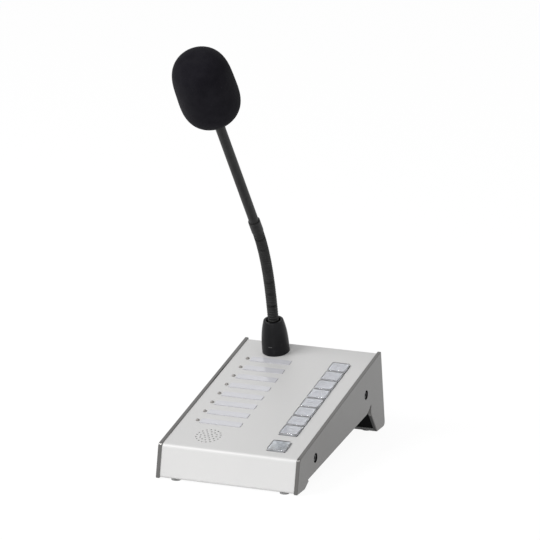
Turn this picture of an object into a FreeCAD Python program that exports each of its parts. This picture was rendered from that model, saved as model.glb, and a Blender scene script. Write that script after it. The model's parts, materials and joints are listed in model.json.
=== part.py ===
import FreeCAD, Part
import math
import os

import Sketcher
from FreeCAD import Placement, Rotation, Vector

# Paging call station: a sloping housing with buttons and a gooseneck microphone.
# Millimetres, +Z up, -Y to the user, +X to the user's right.
# The origin is on the surface it stands on, at the middle of the whole width and depth.

doc = FreeCAD.newDocument("paging_call_station")

SIZES = {
    # Housing, seen from the side; runs are measured back from the front foot
    "width": 128.0,
    "base_depth": 210.8,
    "foam_overhang": 5.7,
    "deck_angle": 12.14,
    "rear_angle": 9.2,
    "front_height": 29.0,
    "cheek_gap": 1.0,
    "cheek_thick": 3.4,
    "cheek_round": 4.5,
    "cheek_bevel": 0.5,
    "heel_round": 4.0,
    "foot_run": 17.3,
    "foot_heel_run": 26.2,
    "foot_heel_rise": 4.4,
    "nick_radius": 0.8,
    "under_run": 25.5,
    "under_rise": 6.2,
    "notch_setback": 38.0,
    "notch_rise": 23.7,
    "slit_rise": 5.3,
    "slit_reach": 10.2,
    "slit_lean": 2.4,
    "slit_tip": 0.6,
    "leg_depth": 19.8,
    "casing_inset": 0.9,
    "foot_pad_height": 1.3,
    "strip_tall": 3.4,
    "strip_thick": 0.6,
    "foot_pad_radius": 4.0,
    "foot_pad_left_edge": 13.2,
    "foot_pad_right_edge": 10.1,
    "foot_pad_run": 5.6,
    "rear_pad_setback": 14.2,
    "rear_pad_edge": 8.6,
    # Sheet work
    "panel_sheet": 1.5,
    "panel_bend": 4.0,
    "panel_lip": 11.0,
    "rear_flange": 9.0,
    "tray_sheet": 1.2,
    "rear_sheet": 1.5,
    "fold_gap": 0.3,
    "bend_inside": 0.4,
    # Cheek screws
    "recess_radius": 4.2,
    "recess_depth": 2.4,
    "front_screw_run": 41.7,
    "front_screw_rise": 20.5,
    "rear_screw_setback": 48.3,
    "rear_screw_rise": 41.3,
    "screw_radius": 1.5,
    "screw_slack": 0.2,
    "head_radius": 2.75,
    "head_height": 1.7,
    "low_head_height": 1.2,
    "thin_head_height": 0.8,
    "cup_wall": 0.4,
    "cup_slack": 0.1,
    "cheek_screw_length": 4.6,
    "case_screw_length": 5.0,
    "case_screw_edge": 32.6,
    "fold_screw_setback": 6.0,
    "lip_screw_setback": 2.0,
    "nut_radius": 2.8,
    "nut_thick": 2.0,
    "bracket_sheet": 1.2,
    "bracket_leg": 12.0,
    "bracket_rise": 12.0,
    "bracket_screw_low": 16.0,
    "bracket_screw_high": 50.0,
    # Rows on the deck; deck runs are measured up the slope from the front edge
    "rows": 8,
    "rows_front": 37.5,
    "rows_neck_gap": 11.7,
    "lamp_edge": 13.5,
    "lamp_radius": 1.6,
    "lamp_slack": 0.15,
    "lamp_gap": 2.9,
    "window_wide": 37.4,
    "window_tall": 7.6,
    "window_round": 0.8,
    "lens_slack": 0.15,
    "lens_sheet": 1.0,
    "lens_proud": 0.5,
    "lens_margin": 0.75,
    "lens_end": 2.2,
    "backing_rim": 1.2,
    "card_sheet": 0.3,
    "backing_thick": 2.5,
    "lamp_proud": 1.5,
    "lamp_flange": 0.4,
    "lamp_flange_thick": 0.8,
    "lamp_rim": 0.4,
    "lamp_wire": 0.5,
    "lamp_pitch": 2.54,
    # Buttons
    "button_edge": 22.6,
    "button_wide": 16.7,
    "button_gap": 0.6,
    "button_slack": 0.25,
    "button_proud": 2.0,
    "button_wall": 0.9,
    "button_round": 2.0,
    "lip_thick": 1.2,
    "lip_wide": 0.9,
    "talk_run": 18.2,
    "talk_long": 16.5,
    "zone_stroke": 1.2,
    "talk_stroke": 2.0,
    "stem_radius": 1.5,
    "stem_slack": 0.08,
    # Boards
    "board_depth": 12.0,
    "board_sheet": 1.6,
    "board_gap": 0.4,
    "board_margin": 2.0,
    "board_front_gap": 4.0,
    "board_screw_radius": 1.25,
    "board_screw_length": 5.0,
    "spacer_radius": 2.5,
    "spacer_edge": 3.0,
    "spacer_ends": 8.5,
    "chip_side": 12.0,
    "chip_thick": 1.6,
    "capacitor_radius": 3.0,
    "capacitor_height": 6.5,
    "guide_wall": 1.2,
    "guide_gap": 0.1,
    "trough_gap": 0.35,
    "trough_depth": 4.6,
    "switch_side": 6.0,
    "switch_height": 3.2,
    "switch_well": 4.0,
    "switch_bore_gap": 0.35,
    "stem_foot": 9.8,
    "cap_roof": 1.6,
    "cap_pillow": 0.9,
    # Grille and loudspeaker
    "grille_edge": 33.1,
    "grille_run": 22.3,
    "grille_pitch": 3.5,
    "grille_rings": 3,
    "grille_hole": 0.85,
    "cloth_radius": 15.0,
    "cloth_thick": 0.4,
    "speaker_radius": 14.0,
    "speaker_rim": 1.4,
    "speaker_depth": 5.0,
    "cone_thick": 0.5,
    "magnet_radius": 8.0,
    "magnet_thick": 3.5,
    # Gooseneck
    "neck_edge": 32.45,
    "neck_setback": 16.03,
    "boot_radius": 12.1,
    "boot_top_radius": 8.6,
    "boot_height": 30.6,
    "boot_wall": 2.0,
    "boot_mouth": 6.3,
    "boot_shoulder": 16.0,
    "boot_taper": 10.0,
    "boot_lip": 0.8,
    "thread_radius": 6.0,
    "thread_length": 12.0,
    "flange_radius": 9.0,
    "flange_thick": 2.5,
    "washer_radius": 8.5,
    "washer_thick": 1.0,
    "neck_nut_radius": 8.5,
    "neck_nut_thick": 4.0,
    "neck_rise": 28.2,
    "neck_tube_radius": 4.7,
    "neck_radius": 4.9,
    "neck_groove": 4.3,
    "neck_ball": 3.6,
    "ball_slack": 0.08,
    "neck_bore": 1.5,
    "rib_pitch": 2.025,
    "rib_land": 0.75,
    "ribs_each": 5,
    "flex_parts": 8,
    "neck_top_angle": 37.27,
    "ferrule_radius": 5.2,
    "ferrule_length": 14.0,
    "ferrule_floor": 2.0,
    "ferrule_edge": 0.4,
    "stem_tube_radius": 4.25,
    "stem_tube_wall": 1.3,
    "stem_overlap": 8.0,
    "foam_radius": 25.4,
    "foam_length": 71.6,
    "foam_middle": 186.5,
    "holder_radius": 6.6,
    "holder_start": 4.0,
    "holder_rise": 12.0,
    "capsule_setback": 1.0,
    "capsule_radius": 4.85,
    "capsule_thick": 6.7,
    # Rear connection
    "socket_rise": 24.0,
    "socket_spacing": 22.0,
    "socket_wide": 15.8,
    "socket_tall": 13.4,
    "socket_deep": 15.0,
    "port_wide": 11.8,
    "port_tall": 7.4,
    "port_deep": 12.5,
    "socket_slack": 0.25,
    "link_board_wide": 52.0,
    "link_board_tall": 26.0,
    "link_spacer_radius": 2.2,
    "link_spacer_edge": 3.2,
}

sheet = doc.addObject("Spreadsheet::Sheet", "Sizes")
for row, (alias, value) in enumerate(SIZES.items(), start=1):
    cell = f"A{row}"
    sheet.set(cell, str(value))
    sheet.setAlias(cell, alias)
doc.recompute()


def size(alias):
    return float(sheet.get(alias))


def bound(alias):
    return f"Sizes.{alias}"


# Places


def shift(x, y, z):
    return Placement(Vector(x, y, z), Rotation())


def tilt(degrees):
    return Placement(Vector(), Rotation(Vector(1, 0, 0), degrees))


def turn(axis, degrees):
    return Placement(Vector(), Rotation(axis, degrees))


ACROSS = Vector(1, 0, 0)
AWAY = Vector(0, 1, 0)
UPWARD = Vector(0, 0, 1)

half_width = size("width") / 2
inner_half = half_width - size("cheek_thick")
deck_angle = math.radians(size("deck_angle"))
rear_angle = math.radians(size("rear_angle"))
inset = size("casing_inset")
panel = size("panel_sheet")

# Side view frame: y is the run back from the front foot, z the rise above the cheek's foot
SIDE = shift(0, (size("foam_overhang") - size("base_depth")) / 2, size("cheek_gap"))
NOTCH_RUN = size("base_depth") - size("notch_setback")
CASE_SCREW_SIDE = inner_half - size("case_screw_edge")
# Places across the deck, each measured from the cheek on its own side
LAMP_SIDE = inner_half - size("lamp_edge")
WINDOW_SIDE = LAMP_SIDE - size("lamp_gap") - size("window_wide") / 2
BUTTON_SIDE = inner_half - size("button_edge")
GRILLE_SIDE = inner_half - size("grille_edge")
NECK_SIDE = inner_half - size("neck_edge")


def crossing(a, b, c, d):
    """Where the line through a and b meets the line through c and d, in the plane."""
    ax, ay = b[0] - a[0], b[1] - a[1]
    cx, cy = d[0] - c[0], d[1] - c[1]
    share = ((c[0] - a[0]) * cy - (c[1] - a[1]) * cx) / (ax * cy - ay * cx)
    return a[0] + share * ax, a[1] + share * ay


def offset_line(a, b, distance):
    """The line from a to b moved to its left by distance."""
    length = math.dist(a, b)
    nx, ny = -(b[1] - a[1]) / length, (b[0] - a[0]) / length
    return [(p[0] + nx * distance, p[1] + ny * distance) for p in (a, b)]


def strip(path, thick):
    """Outline of a bent sheet: the path, and the same path moved to its left by thick."""
    sides = [offset_line(a, b, thick) for a, b in zip(path, path[1:])]
    inner = [sides[0][0]]
    inner += [crossing(*first, *second) for first, second in zip(sides, sides[1:])]
    inner.append(sides[-1][1])
    return path + inner[::-1]


def cheek_corners():
    """Corners of a cheek in the side view, from the front foot round to its heel."""
    front = (size("front_height") * math.tan(deck_angle), size("front_height"))
    up_slope = (front[0] + math.cos(deck_angle), front[1] + math.sin(deck_angle))
    heel = (size("base_depth"), 0.0)
    up_rear = (heel[0] - math.sin(rear_angle), math.cos(rear_angle))
    top = crossing(front, up_slope, heel, up_rear)
    toe = (size("base_depth") - size("leg_depth"), 0.0)
    notch = (NOTCH_RUN, size("notch_rise"))
    under = (size("under_run"), size("under_rise"))
    heel_front = (size("foot_heel_run"), size("foot_heel_rise"))
    return {
        "sole": (0.0, 0.0),
        "front": front,
        "top": top,
        "heel": heel,
        "toe": toe,
        "notch": notch,
        "under": under,
        "foot_top": (heel_front[0], under[1] - size("nick_radius")),
        "foot_heel": heel_front,
        "foot_end": (size("foot_run"), 0.0),
    }


CHEEK = cheek_corners()


def casing_corner():
    """Run and rise of the casing's front corner, where the deck meets the front face."""
    front = offset_line(CHEEK["sole"], CHEEK["front"], -inset)
    deck = offset_line(CHEEK["front"], CHEEK["top"], -inset)
    return crossing(*front, *deck)


# Deck frame: y runs up the slope from the casing's front corner, z stands square to the deck
CORNER = casing_corner()
DECK = SIDE * shift(0, *CORNER) * tilt(size("deck_angle"))
# Rear frame: z runs up the rear face from the floor line, y points out of it
REAR = SIDE * shift(0, size("base_depth"), 0) * tilt(size("rear_angle"))


def plane_point(frame, run, rise):
    """A side-view point in a leaning frame's own y and z."""
    local = frame.inverse().multVec(SIDE.multVec(Vector(0, run, rise)))
    return local.y, local.z


def side_point(frame, y, z):
    """A leaning frame's y and z as run and rise of the side view."""
    point = SIDE.inverse().multVec(frame.multVec(Vector(0, y, z)))
    return point.y, point.z


# Feature helpers


def new_body(label, place=None):
    body = doc.addObject("PartDesign::Body", label)
    body.Label = label
    body.Placement = place or Placement()
    return body


def new_sketch(body, name, role, lift=0.0, centre=(0.0, 0.0), lean=0.0):
    sketch = body.newObject("Sketcher::SketchObject", name)
    plane = next(item for item in body.Origin.OriginFeatures if item.Role == role)
    sketch.AttachmentSupport = (plane, [""])
    sketch.MapMode = "FlatFace"
    sketch.AttachmentOffset = shift(centre[0], centre[1], lift) * tilt(lean)
    return sketch


def draw_outline(sketch, corners):
    """A closed outline of straight runs, each corner held at its coordinates."""
    points = [Vector(x, y, 0) for x, y in corners]
    first = sketch.GeometryCount
    count = len(points)
    for i in range(count):
        sketch.addGeometry(Part.LineSegment(points[i], points[(i + 1) % count]), False)
    for i in range(count):
        after = first + (i + 1) % count
        sketch.addConstraint(Sketcher.Constraint("Coincident", first + i, 2, after, 1))
        sketch.addConstraint(Sketcher.Constraint("DistanceX", -1, 1, first + i, 1, points[i].x))
        sketch.addConstraint(Sketcher.Constraint("DistanceY", -1, 1, first + i, 1, points[i].y))


def draw_curve(sketch, curve, corners):
    """A closed outline of one smooth curve through its points, then straight runs through corners."""
    spline = Part.BSplineCurve()
    spline.interpolate([Vector(x, y, 0) for x, y in curve])
    index = sketch.addGeometry(spline, False)
    sketch.addConstraint(Sketcher.Constraint("Block", index))
    stops = [curve[-1]] + corners + [curve[0]]
    lines = [Part.LineSegment(Vector(*a, 0), Vector(*b, 0)) for a, b in zip(stops, stops[1:])]
    before = (index, 2)
    for line in lines:
        after = sketch.addGeometry(line, False)
        sketch.addConstraint(Sketcher.Constraint("Coincident", *before, after, 1))
        before = (after, 2)
    sketch.addConstraint(Sketcher.Constraint("Coincident", *before, index, 1))


def draw_rectangle(sketch, wide, tall):
    """A rectangle about the sketch's origin; wide and tall are expressions."""
    half = 5.0
    points = [Vector(-half, -half, 0), Vector(half, -half, 0), Vector(half, half, 0), Vector(-half, half, 0)]
    first = sketch.GeometryCount
    for i in range(4):
        sketch.addGeometry(Part.LineSegment(points[i], points[(i + 1) % 4]), False)
    for i in range(4):
        sketch.addConstraint(Sketcher.Constraint("Coincident", first + i, 2, first + (i + 1) % 4, 1))
    for i in (0, 2):
        sketch.addConstraint(Sketcher.Constraint("Horizontal", first + i))
    for i in (1, 3):
        sketch.addConstraint(Sketcher.Constraint("Vertical", first + i))
    sketch.addConstraint(Sketcher.Constraint("Symmetric", first, 1, first + 1, 2, -1, 1))
    across = sketch.addConstraint(Sketcher.Constraint("DistanceX", first, 1, first, 2, 2 * half))
    along = sketch.addConstraint(Sketcher.Constraint("DistanceY", first + 1, 1, first + 1, 2, 2 * half))
    sketch.setExpression(f"Constraints[{across}]", wide)
    sketch.setExpression(f"Constraints[{along}]", tall)


def draw_circle(sketch, radius, at=(0.0, 0.0)):
    """A circle; radius is an expression."""
    circle = sketch.addGeometry(Part.Circle(Vector(at[0], at[1], 0), UPWARD, 1.0), False)
    sketch.addConstraint(Sketcher.Constraint("DistanceX", -1, 1, circle, 3, at[0]))
    sketch.addConstraint(Sketcher.Constraint("DistanceY", -1, 1, circle, 3, at[1]))
    held = sketch.addConstraint(Sketcher.Constraint("Radius", circle, 1.0))
    sketch.setExpression(f"Constraints[{held}]", radius)


def pad(body, sketch, length, backwards=False, symmetric=False):
    feature = body.newObject("PartDesign::Pad", sketch.Name + "_pad")
    feature.Profile = sketch
    feature.setExpression("Length", length)
    feature.Reversed = backwards
    if symmetric:
        feature.SideType = "Symmetric"
    return feature


def pocket(body, sketch, length, backwards=False):
    """A pocket, checked to take something away."""
    doc.recompute()
    before = body.Shape.Volume
    feature = body.newObject("PartDesign::Pocket", sketch.Name + "_pocket")
    feature.Profile = sketch
    feature.setExpression("Length", length)
    feature.Reversed = backwards
    doc.recompute()
    if body.Shape.Volume > before - 1e-6:
        raise RuntimeError(f"{body.Label}: {sketch.Name} cuts nothing")
    return feature


def turned(label, outline, place, curve=None):
    """A body turned about its own Z; the outline holds radius and height pairs."""
    body = new_body(label, place)
    sketch = new_sketch(body, label + "_outline", "XZ_Plane")
    if curve:
        draw_curve(sketch, curve, outline)
    else:
        draw_outline(sketch, outline)
    feature = body.newObject("PartDesign::Revolution", label + "_turned")
    feature.Profile = sketch
    feature.ReferenceAxis = (sketch, ["V_Axis"])
    feature.Angle = 360
    return body


def edge_names(shape, wanted):
    return [f"Edge{i}" for i, edge in enumerate(shape.Edges, start=1) if wanted(edge)]


def along(edge, direction):
    """True for a straight edge that runs along direction."""
    if len(edge.Vertexes) != 2:
        return False
    step = edge.Vertexes[1].Point - edge.Vertexes[0].Point
    straight = abs(step.Length - edge.Length) < 1e-6
    return straight and step.cross(direction).Length < 1e-6 * step.Length


def dress(body, kind, name, value, wanted):
    """A fillet or chamfer on the edges of the body's last feature that are wanted."""
    doc.recompute()
    base = body.Tip
    names = edge_names(base.Shape, wanted)
    if not names:
        raise RuntimeError(f"{body.Label}: {name} finds no edge")
    feature = body.newObject("PartDesign::" + kind, name)
    feature.Base = (base, names)
    feature.setExpression("Radius" if kind == "Fillet" else "Size", value)
    return feature


def round_corners(body, name, radius, corners, direction=ACROSS):
    """Fillets the edges along direction that pass through the given side-view corners."""

    def wanted(edge):
        if not along(edge, direction):
            return False
        middle = edge.CenterOfMass
        return any(math.dist((middle.y, middle.z), corner) < 0.01 for corner in corners)

    return dress(body, "Fillet", name, radius, wanted)


def box(label, place, wide, deep, tall):
    """A block centred on its place in X and Y and standing on it; sizes are expressions."""
    block = doc.addObject("Part::Box", label)
    block.Label = label
    block.setExpression("Length", wide)
    block.setExpression("Width", deep)
    block.setExpression("Height", tall)
    doc.recompute()
    block.Placement = place * shift(-block.Length.Value / 2, -block.Width.Value / 2, 0)
    return block


def cylinder(label, place, radius, height):
    rod = doc.addObject("Part::Cylinder", label)
    rod.Label = label
    rod.setExpression("Radius", radius)
    rod.setExpression("Height", height)
    rod.Placement = place
    return rod


def cut(label, base, tool):
    result = doc.addObject("Part::Cut", label)
    result.Label = label
    result.Base = base
    result.Tool = tool
    return result


def fuse(label, pieces):
    result = doc.addObject("Part::MultiFuse", label)
    result.Label = label
    result.Shapes = pieces
    return result


def group(label, pieces):
    result = doc.addObject("Part::Compound", label)
    result.Label = label
    result.Links = pieces
    return result


SIDES = [(-1, "left"), (1, "right")]

nodes = []


def node(piece):
    nodes.append(piece)
    return piece


# Side cheeks


SCREWS = [
    (size("front_screw_run"), size("front_screw_rise")),
    (size("base_depth") - size("rear_screw_setback"), size("rear_screw_rise")),
]


def slit_corners():
    """The throat above the notch: from its slope up to a narrow tip and down to its leg."""
    nick = size("nick_radius")
    front_run = NOTCH_RUN - size("slit_reach")
    back_run = NOTCH_RUN + size("slit_lean")
    tip = size("notch_rise") + size("slit_rise")
    front = crossing(CHEEK["under"], CHEEK["notch"], (front_run, 0.0), (front_run, 1.0))
    back = crossing(CHEEK["notch"], CHEEK["toe"], (back_run, 0.0), (back_run, 1.0))
    return [
        (front_run, front[1] - nick),
        (NOTCH_RUN, size("notch_rise") - 3 * nick),
        (back_run - nick, back[1]),
        (back_run, back[1]),
        (back_run, tip),
        (back_run - size("slit_tip"), tip),
    ]


def side_cheek(label, side):
    """A thick side plate, its outer face at half the width; side is -1 for left and 1 for right."""
    body = new_body(label, SIDE * shift(side * half_width, 0, 0))
    outline = new_sketch(body, label + "_outline", "YZ_Plane")
    draw_outline(outline, list(CHEEK.values()))
    pad(body, outline, bound("cheek_thick"), backwards=side > 0)
    round_corners(body, label + "_front_round", bound("cheek_round"), [CHEEK["front"]])
    round_corners(body, label + "_heel_round", bound("heel_round"), [CHEEK["heel"]])
    round_corners(body, label + "_toe_round", bound("cheek_round"), [CHEEK["foot_end"]])
    soft = [CHEEK["sole"], CHEEK["top"], CHEEK["toe"], CHEEK["foot_heel"]]
    round_corners(body, label + "_soft_round", bound("nick_radius"), soft)

    def outer_rim(edge):
        return all(abs(v.X) < 0.001 for v in edge.Vertexes)

    def inner_rim(edge):
        return all(abs(abs(v.X) - size("cheek_thick")) < 0.001 for v in edge.Vertexes)

    dress(body, "Chamfer", label + "_outer_bevel", bound("cheek_bevel"), outer_rim)
    dress(body, "Chamfer", label + "_inner_bevel", bound("cheek_bevel"), inner_rim)
    slit = new_sketch(body, label + "_slit", "YZ_Plane")
    draw_outline(slit, slit_corners())
    pocket(body, slit, bound("cheek_thick"), backwards=side < 0)
    for name, radius, depth in (
        ("recess", bound("recess_radius"), bound("recess_depth")),
        ("shank", f"{bound('screw_radius')} + {bound('screw_slack')}", bound("cheek_thick")),
    ):
        holes = new_sketch(body, f"{label}_{name}", "YZ_Plane")
        for at in SCREWS:
            draw_circle(holes, radius, at)
        pocket(body, holes, depth, backwards=side < 0)
    return node(body)


side_cheek("side_cheek_left", -1)
side_cheek("side_cheek_right", 1)


def screw(name, place, length, head="head_height", radius="screw_radius", key=6):
    """A screw with its head on its place, its shank below and a recess for the key above."""
    top = cylinder(name + "_head", place, bound("head_radius"), bound(head))
    shank = cylinder(name + "_shank", place * shift(0, 0, -size(length)), bound(radius), bound(length))
    recess = doc.addObject("Part::Prism", name + "_key")
    recess.Polygon = key
    recess.setExpression("Circumradius", f"0.5 * {bound('head_radius')}")
    recess.setExpression("Height", bound(head))
    recess.Placement = place * shift(0, 0, 0.4 * size(head))
    return cut(name, fuse(name + "_blank", [top, shank]), recess)


def cheek_screws():
    """Four socket screws, each in a black cup in its recess and held by a press nut."""
    screws = []
    cups = []
    wall = size("cup_wall")
    outer = size("recess_radius") - size("cup_slack")
    bore = size("screw_radius") + size("screw_slack")
    tall = size("recess_depth") - wall / 2
    inner = outer - wall
    outline = [(bore, 0.0), (outer, 0.0), (outer, tall), (inner, tall), (inner, wall), (bore, wall)]
    for side, name in SIDES:
        for i, (run, rise) in enumerate(SCREWS, start=1):
            floor = half_width - size("recess_depth")
            place = SIDE * shift(side * floor, run, rise) * turn(AWAY, 90 * side)
            cups.append(turned(f"screw_cup_{name}_{i}", outline, place))
            place = place * shift(0, 0, wall)
            length = "cheek_screw_length"
            screws.append(screw(f"cheek_screw_{name}_{i}", place, length, "low_head_height"))
    node(group("screw_cups", cups))
    return node(group("cheek_screws", screws))


cheek_screws()

# Top panel

casing_front = offset_line(CHEEK["sole"], CHEEK["front"], -inset)
casing_rear = offset_line(CHEEK["heel"], CHEEK["top"], inset)
casing_deck = offset_line(CHEEK["front"], CHEEK["top"], -inset)
CASING_TOP = crossing(*casing_deck, *casing_rear)
DECK_RUN = plane_point(DECK, *CASING_TOP)[0]
# The neck keeps its distance from the rear edge, and the rows share what lies before it
NECK_RUN = DECK_RUN - size("neck_setback")
ROW_PITCH = (NECK_RUN - size("rows_neck_gap") - size("rows_front")) / size("rows")
LAST_ROW = size("rows_front") + ROW_PITCH / 2
ROW_RUNS = [LAST_ROW + i * ROW_PITCH for i in range(int(size("rows")))]
ROWS_MIDDLE = (ROW_RUNS[0] + ROW_RUNS[-1]) / 2
SLOT_LONG = f"{bound('rows')} * {ROW_PITCH}"
SLOT_WIDE = f"{bound('button_wide')} + 2 * {bound('button_slack')}"
TALK_TALL = f"{bound('talk_long')} + 2 * {bound('button_slack')}"
SCREW_HOLE = f"{bound('screw_radius')} + {bound('screw_slack')}"
casing_rise = size("foot_pad_height") - size("cheek_gap")
LIP_TOP = casing_rise + panel
FRONT_SCREW_RUN = size("panel_lip") - size("lip_screw_setback")


def level(rise):
    """A level line of the side view."""
    return (0.0, rise), (1.0, rise)


def top_panel():
    """The bent silver sheet: front lip, front face, sloping deck and rear flange."""
    body = new_body("top_panel", DECK)
    front_end = crossing(*casing_front, *level(casing_rise))
    lip_end = (front_end[0] + size("panel_lip"), casing_rise)
    rear_height = plane_point(REAR, *CASING_TOP)[1]
    flange_end = side_point(REAR, -inset, rear_height - size("rear_flange"))
    outline = [flange_end, CASING_TOP, CORNER, front_end, lip_end]
    path = [plane_point(DECK, *point) for point in outline]
    corners = strip(path, panel)
    profile = new_sketch(body, "panel_profile", "YZ_Plane")
    draw_outline(profile, corners)
    pad(body, profile, f"{bound('width')} - 2 * {bound('cheek_thick')}", symmetric=True)
    inner = corners[5:]
    round_corners(body, "panel_outer_bend", bound("panel_bend"), [path[2]])
    inner_bend = f"{bound('panel_bend')} - {bound('panel_sheet')}"
    round_corners(body, "panel_inner_bend", inner_bend, [inner[2]])
    tight = f"{bound('panel_sheet')} + {bound('bend_inside')}"
    round_corners(body, "panel_edge_bends", tight, [path[1], path[3]])
    round_corners(body, "panel_edge_inner", bound("bend_inside"), [inner[1], inner[3]])

    base = plane_point(DECK, 0.0, LIP_TOP + 1.0)
    holes = new_sketch(body, "lip_holes", "XY_Plane", base[1], (0.0, base[0]), -size("deck_angle"))
    for side, _ in SIDES:
        at = (side * CASE_SCREW_SIDE, FRONT_SCREW_RUN)
        draw_circle(holes, SCREW_HOLE, at)
    pocket(body, holes, f"{bound('panel_sheet')} + 2")

    rows = new_sketch(body, "row_window", "XY_Plane", centre=(-WINDOW_SIDE, ROW_RUNS[0]))
    draw_rectangle(rows, bound("window_wide"), bound("window_tall"))
    lamp_at = (WINDOW_SIDE - LAMP_SIDE, 0.0)
    draw_circle(rows, f"{bound('lamp_radius')} + {bound('lamp_slack')}", lamp_at)
    first = pocket(body, rows, bound("panel_sheet"))
    pattern = body.newObject("PartDesign::LinearPattern", "row_windows")
    pattern.Originals = [first]
    pattern.Direction = (rows, ["V_Axis"])
    pattern.setExpression("Length", f"({bound('rows')} - 1) * {ROW_PITCH}")
    pattern.setExpression("Occurrences", bound("rows"))
    body.Tip = pattern

    slot = new_sketch(body, "button_slot", "XY_Plane", centre=(BUTTON_SIDE, ROWS_MIDDLE))
    draw_rectangle(slot, SLOT_WIDE, SLOT_LONG)
    pocket(body, slot, bound("panel_sheet"))
    talk = new_sketch(body, "talk_window", "XY_Plane", centre=(BUTTON_SIDE, size("talk_run")))
    draw_rectangle(talk, SLOT_WIDE, TALK_TALL)
    pocket(body, talk, bound("panel_sheet"))
    neck = new_sketch(body, "neck_hole", "XY_Plane", centre=(-NECK_SIDE, NECK_RUN))
    draw_circle(neck, f"{bound('thread_radius')} + {bound('screw_slack')}")
    pocket(body, neck, bound("panel_sheet"))

    def window_corner(edge):
        if not along(edge, UPWARD) or abs(edge.Length - panel) > 0.01:
            return False
        return abs(edge.CenterOfMass.x) < inner_half - 1 and 0 < edge.CenterOfMass.y < DECK_RUN - 2

    dress(body, "Fillet", "window_corners", bound("window_round"), window_corner)

    for ring in range(int(size("grille_rings")) + 1):
        centre = (-GRILLE_SIDE, size("grille_run"))
        hole = new_sketch(body, f"grille_hole_{ring}", "XY_Plane", centre=centre)
        draw_circle(hole, bound("grille_hole"), (ring * size("grille_pitch"), 0.0))
        cutting = pocket(body, hole, bound("panel_sheet"))
        if ring:
            circle = body.newObject("PartDesign::PolarPattern", f"grille_ring_{ring}")
            circle.Originals = [cutting]
            circle.Axis = (hole, ["N_Axis"])
            circle.Angle = 360
            circle.Occurrences = 6 * ring
            body.Tip = circle
            doc.recompute()
    return node(body)


top_panel()

# Base tray and rear panel


def tray_path():
    """Underside of the tray in the side view, from its front end to the rear face."""
    foot = offset_line(CHEEK["foot_end"], CHEEK["foot_heel"], inset)
    slope = offset_line(CHEEK["under"], CHEEK["notch"], inset)
    leg = offset_line(CHEEK["notch"], CHEEK["toe"], inset)
    return [
        (2 * panel + inset, LIP_TOP),
        crossing(*level(LIP_TOP), *foot),
        crossing(*foot, *slope),
        crossing(*slope, *leg),
        crossing(*leg, *level(casing_rise)),
        crossing(*level(casing_rise), *casing_rear),
    ]


TRAY = tray_path()
TRAY_INNER = strip(TRAY, size("tray_sheet"))[len(TRAY):][::-1]
TRAY_FLOOR = casing_rise + size("tray_sheet")
REAR_TOP = plane_point(REAR, *CASING_TOP)[1] - size("rear_flange") - size("fold_gap")
REAR_SCREW_RUN = side_point(REAR, -inset - size("rear_sheet") - size("fold_screw_setback"), 0.0)[0]
FLOOR_SCREWS = [
    (side * CASE_SCREW_SIDE, run) for side, _ in SIDES for run in (FRONT_SCREW_RUN, REAR_SCREW_RUN)
]


def wall_corners():
    """Outline of the tray's side walls: inside the bent sheet, the panel and its rear flange."""
    skin = inset + panel + size("fold_gap")
    front = offset_line(CHEEK["sole"], CHEEK["front"], -skin)
    deck = offset_line(CHEEK["front"], CHEEK["top"], -skin)
    flange = offset_line(CHEEK["heel"], CHEEK["top"], skin)
    return [
        crossing(*front, *level(TRAY_INNER[0][1])),
        *TRAY_INNER[1:-1],
        crossing(*level(TRAY_FLOOR), *casing_rear),
        side_point(REAR, -inset, REAR_TOP),
        side_point(REAR, -skin, REAR_TOP),
        crossing(*deck, *flange),
        crossing(*front, *deck),
    ]


def base_tray():
    """The black bent sheet under the casing, with a wall at each side that a cheek screws to."""
    body = new_body("base_tray", SIDE)
    profile = new_sketch(body, "tray_profile", "YZ_Plane")
    draw_outline(profile, strip(TRAY, size("tray_sheet")))
    pad(body, profile, f"{bound('width')} - 2 * {bound('cheek_thick')}", symmetric=True)
    convex = [TRAY[1], TRAY[4], TRAY_INNER[3]]
    concave = [TRAY_INNER[1], TRAY_INNER[4], TRAY[3]]
    round_corners(body, "tray_outer_bends", f"{bound('tray_sheet')} + {bound('bend_inside')}", convex)
    round_corners(body, "tray_inner_bends", bound("bend_inside"), concave)
    walls = wall_corners()
    for side, name in SIDES:
        wall = new_sketch(body, f"tray_wall_{name}", "YZ_Plane", lift=side * inner_half)
        draw_outline(wall, walls)
        pad(body, wall, bound("tray_sheet"), backwards=side > 0)
        holes = new_sketch(body, f"tray_wall_{name}_holes", "YZ_Plane", lift=side * inner_half)
        for at in SCREWS:
            draw_circle(holes, SCREW_HOLE, at)
        pocket(body, holes, bound("tray_sheet"), backwards=side < 0)
    floor_holes = new_sketch(body, "tray_floor_holes", "XY_Plane", lift=LIP_TOP + size("tray_sheet"))
    for at in FLOOR_SCREWS:
        draw_circle(floor_holes, SCREW_HOLE, at)
    pocket(body, floor_holes, f"{bound('tray_sheet')} + {bound('panel_sheet')}")
    return node(body)


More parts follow.
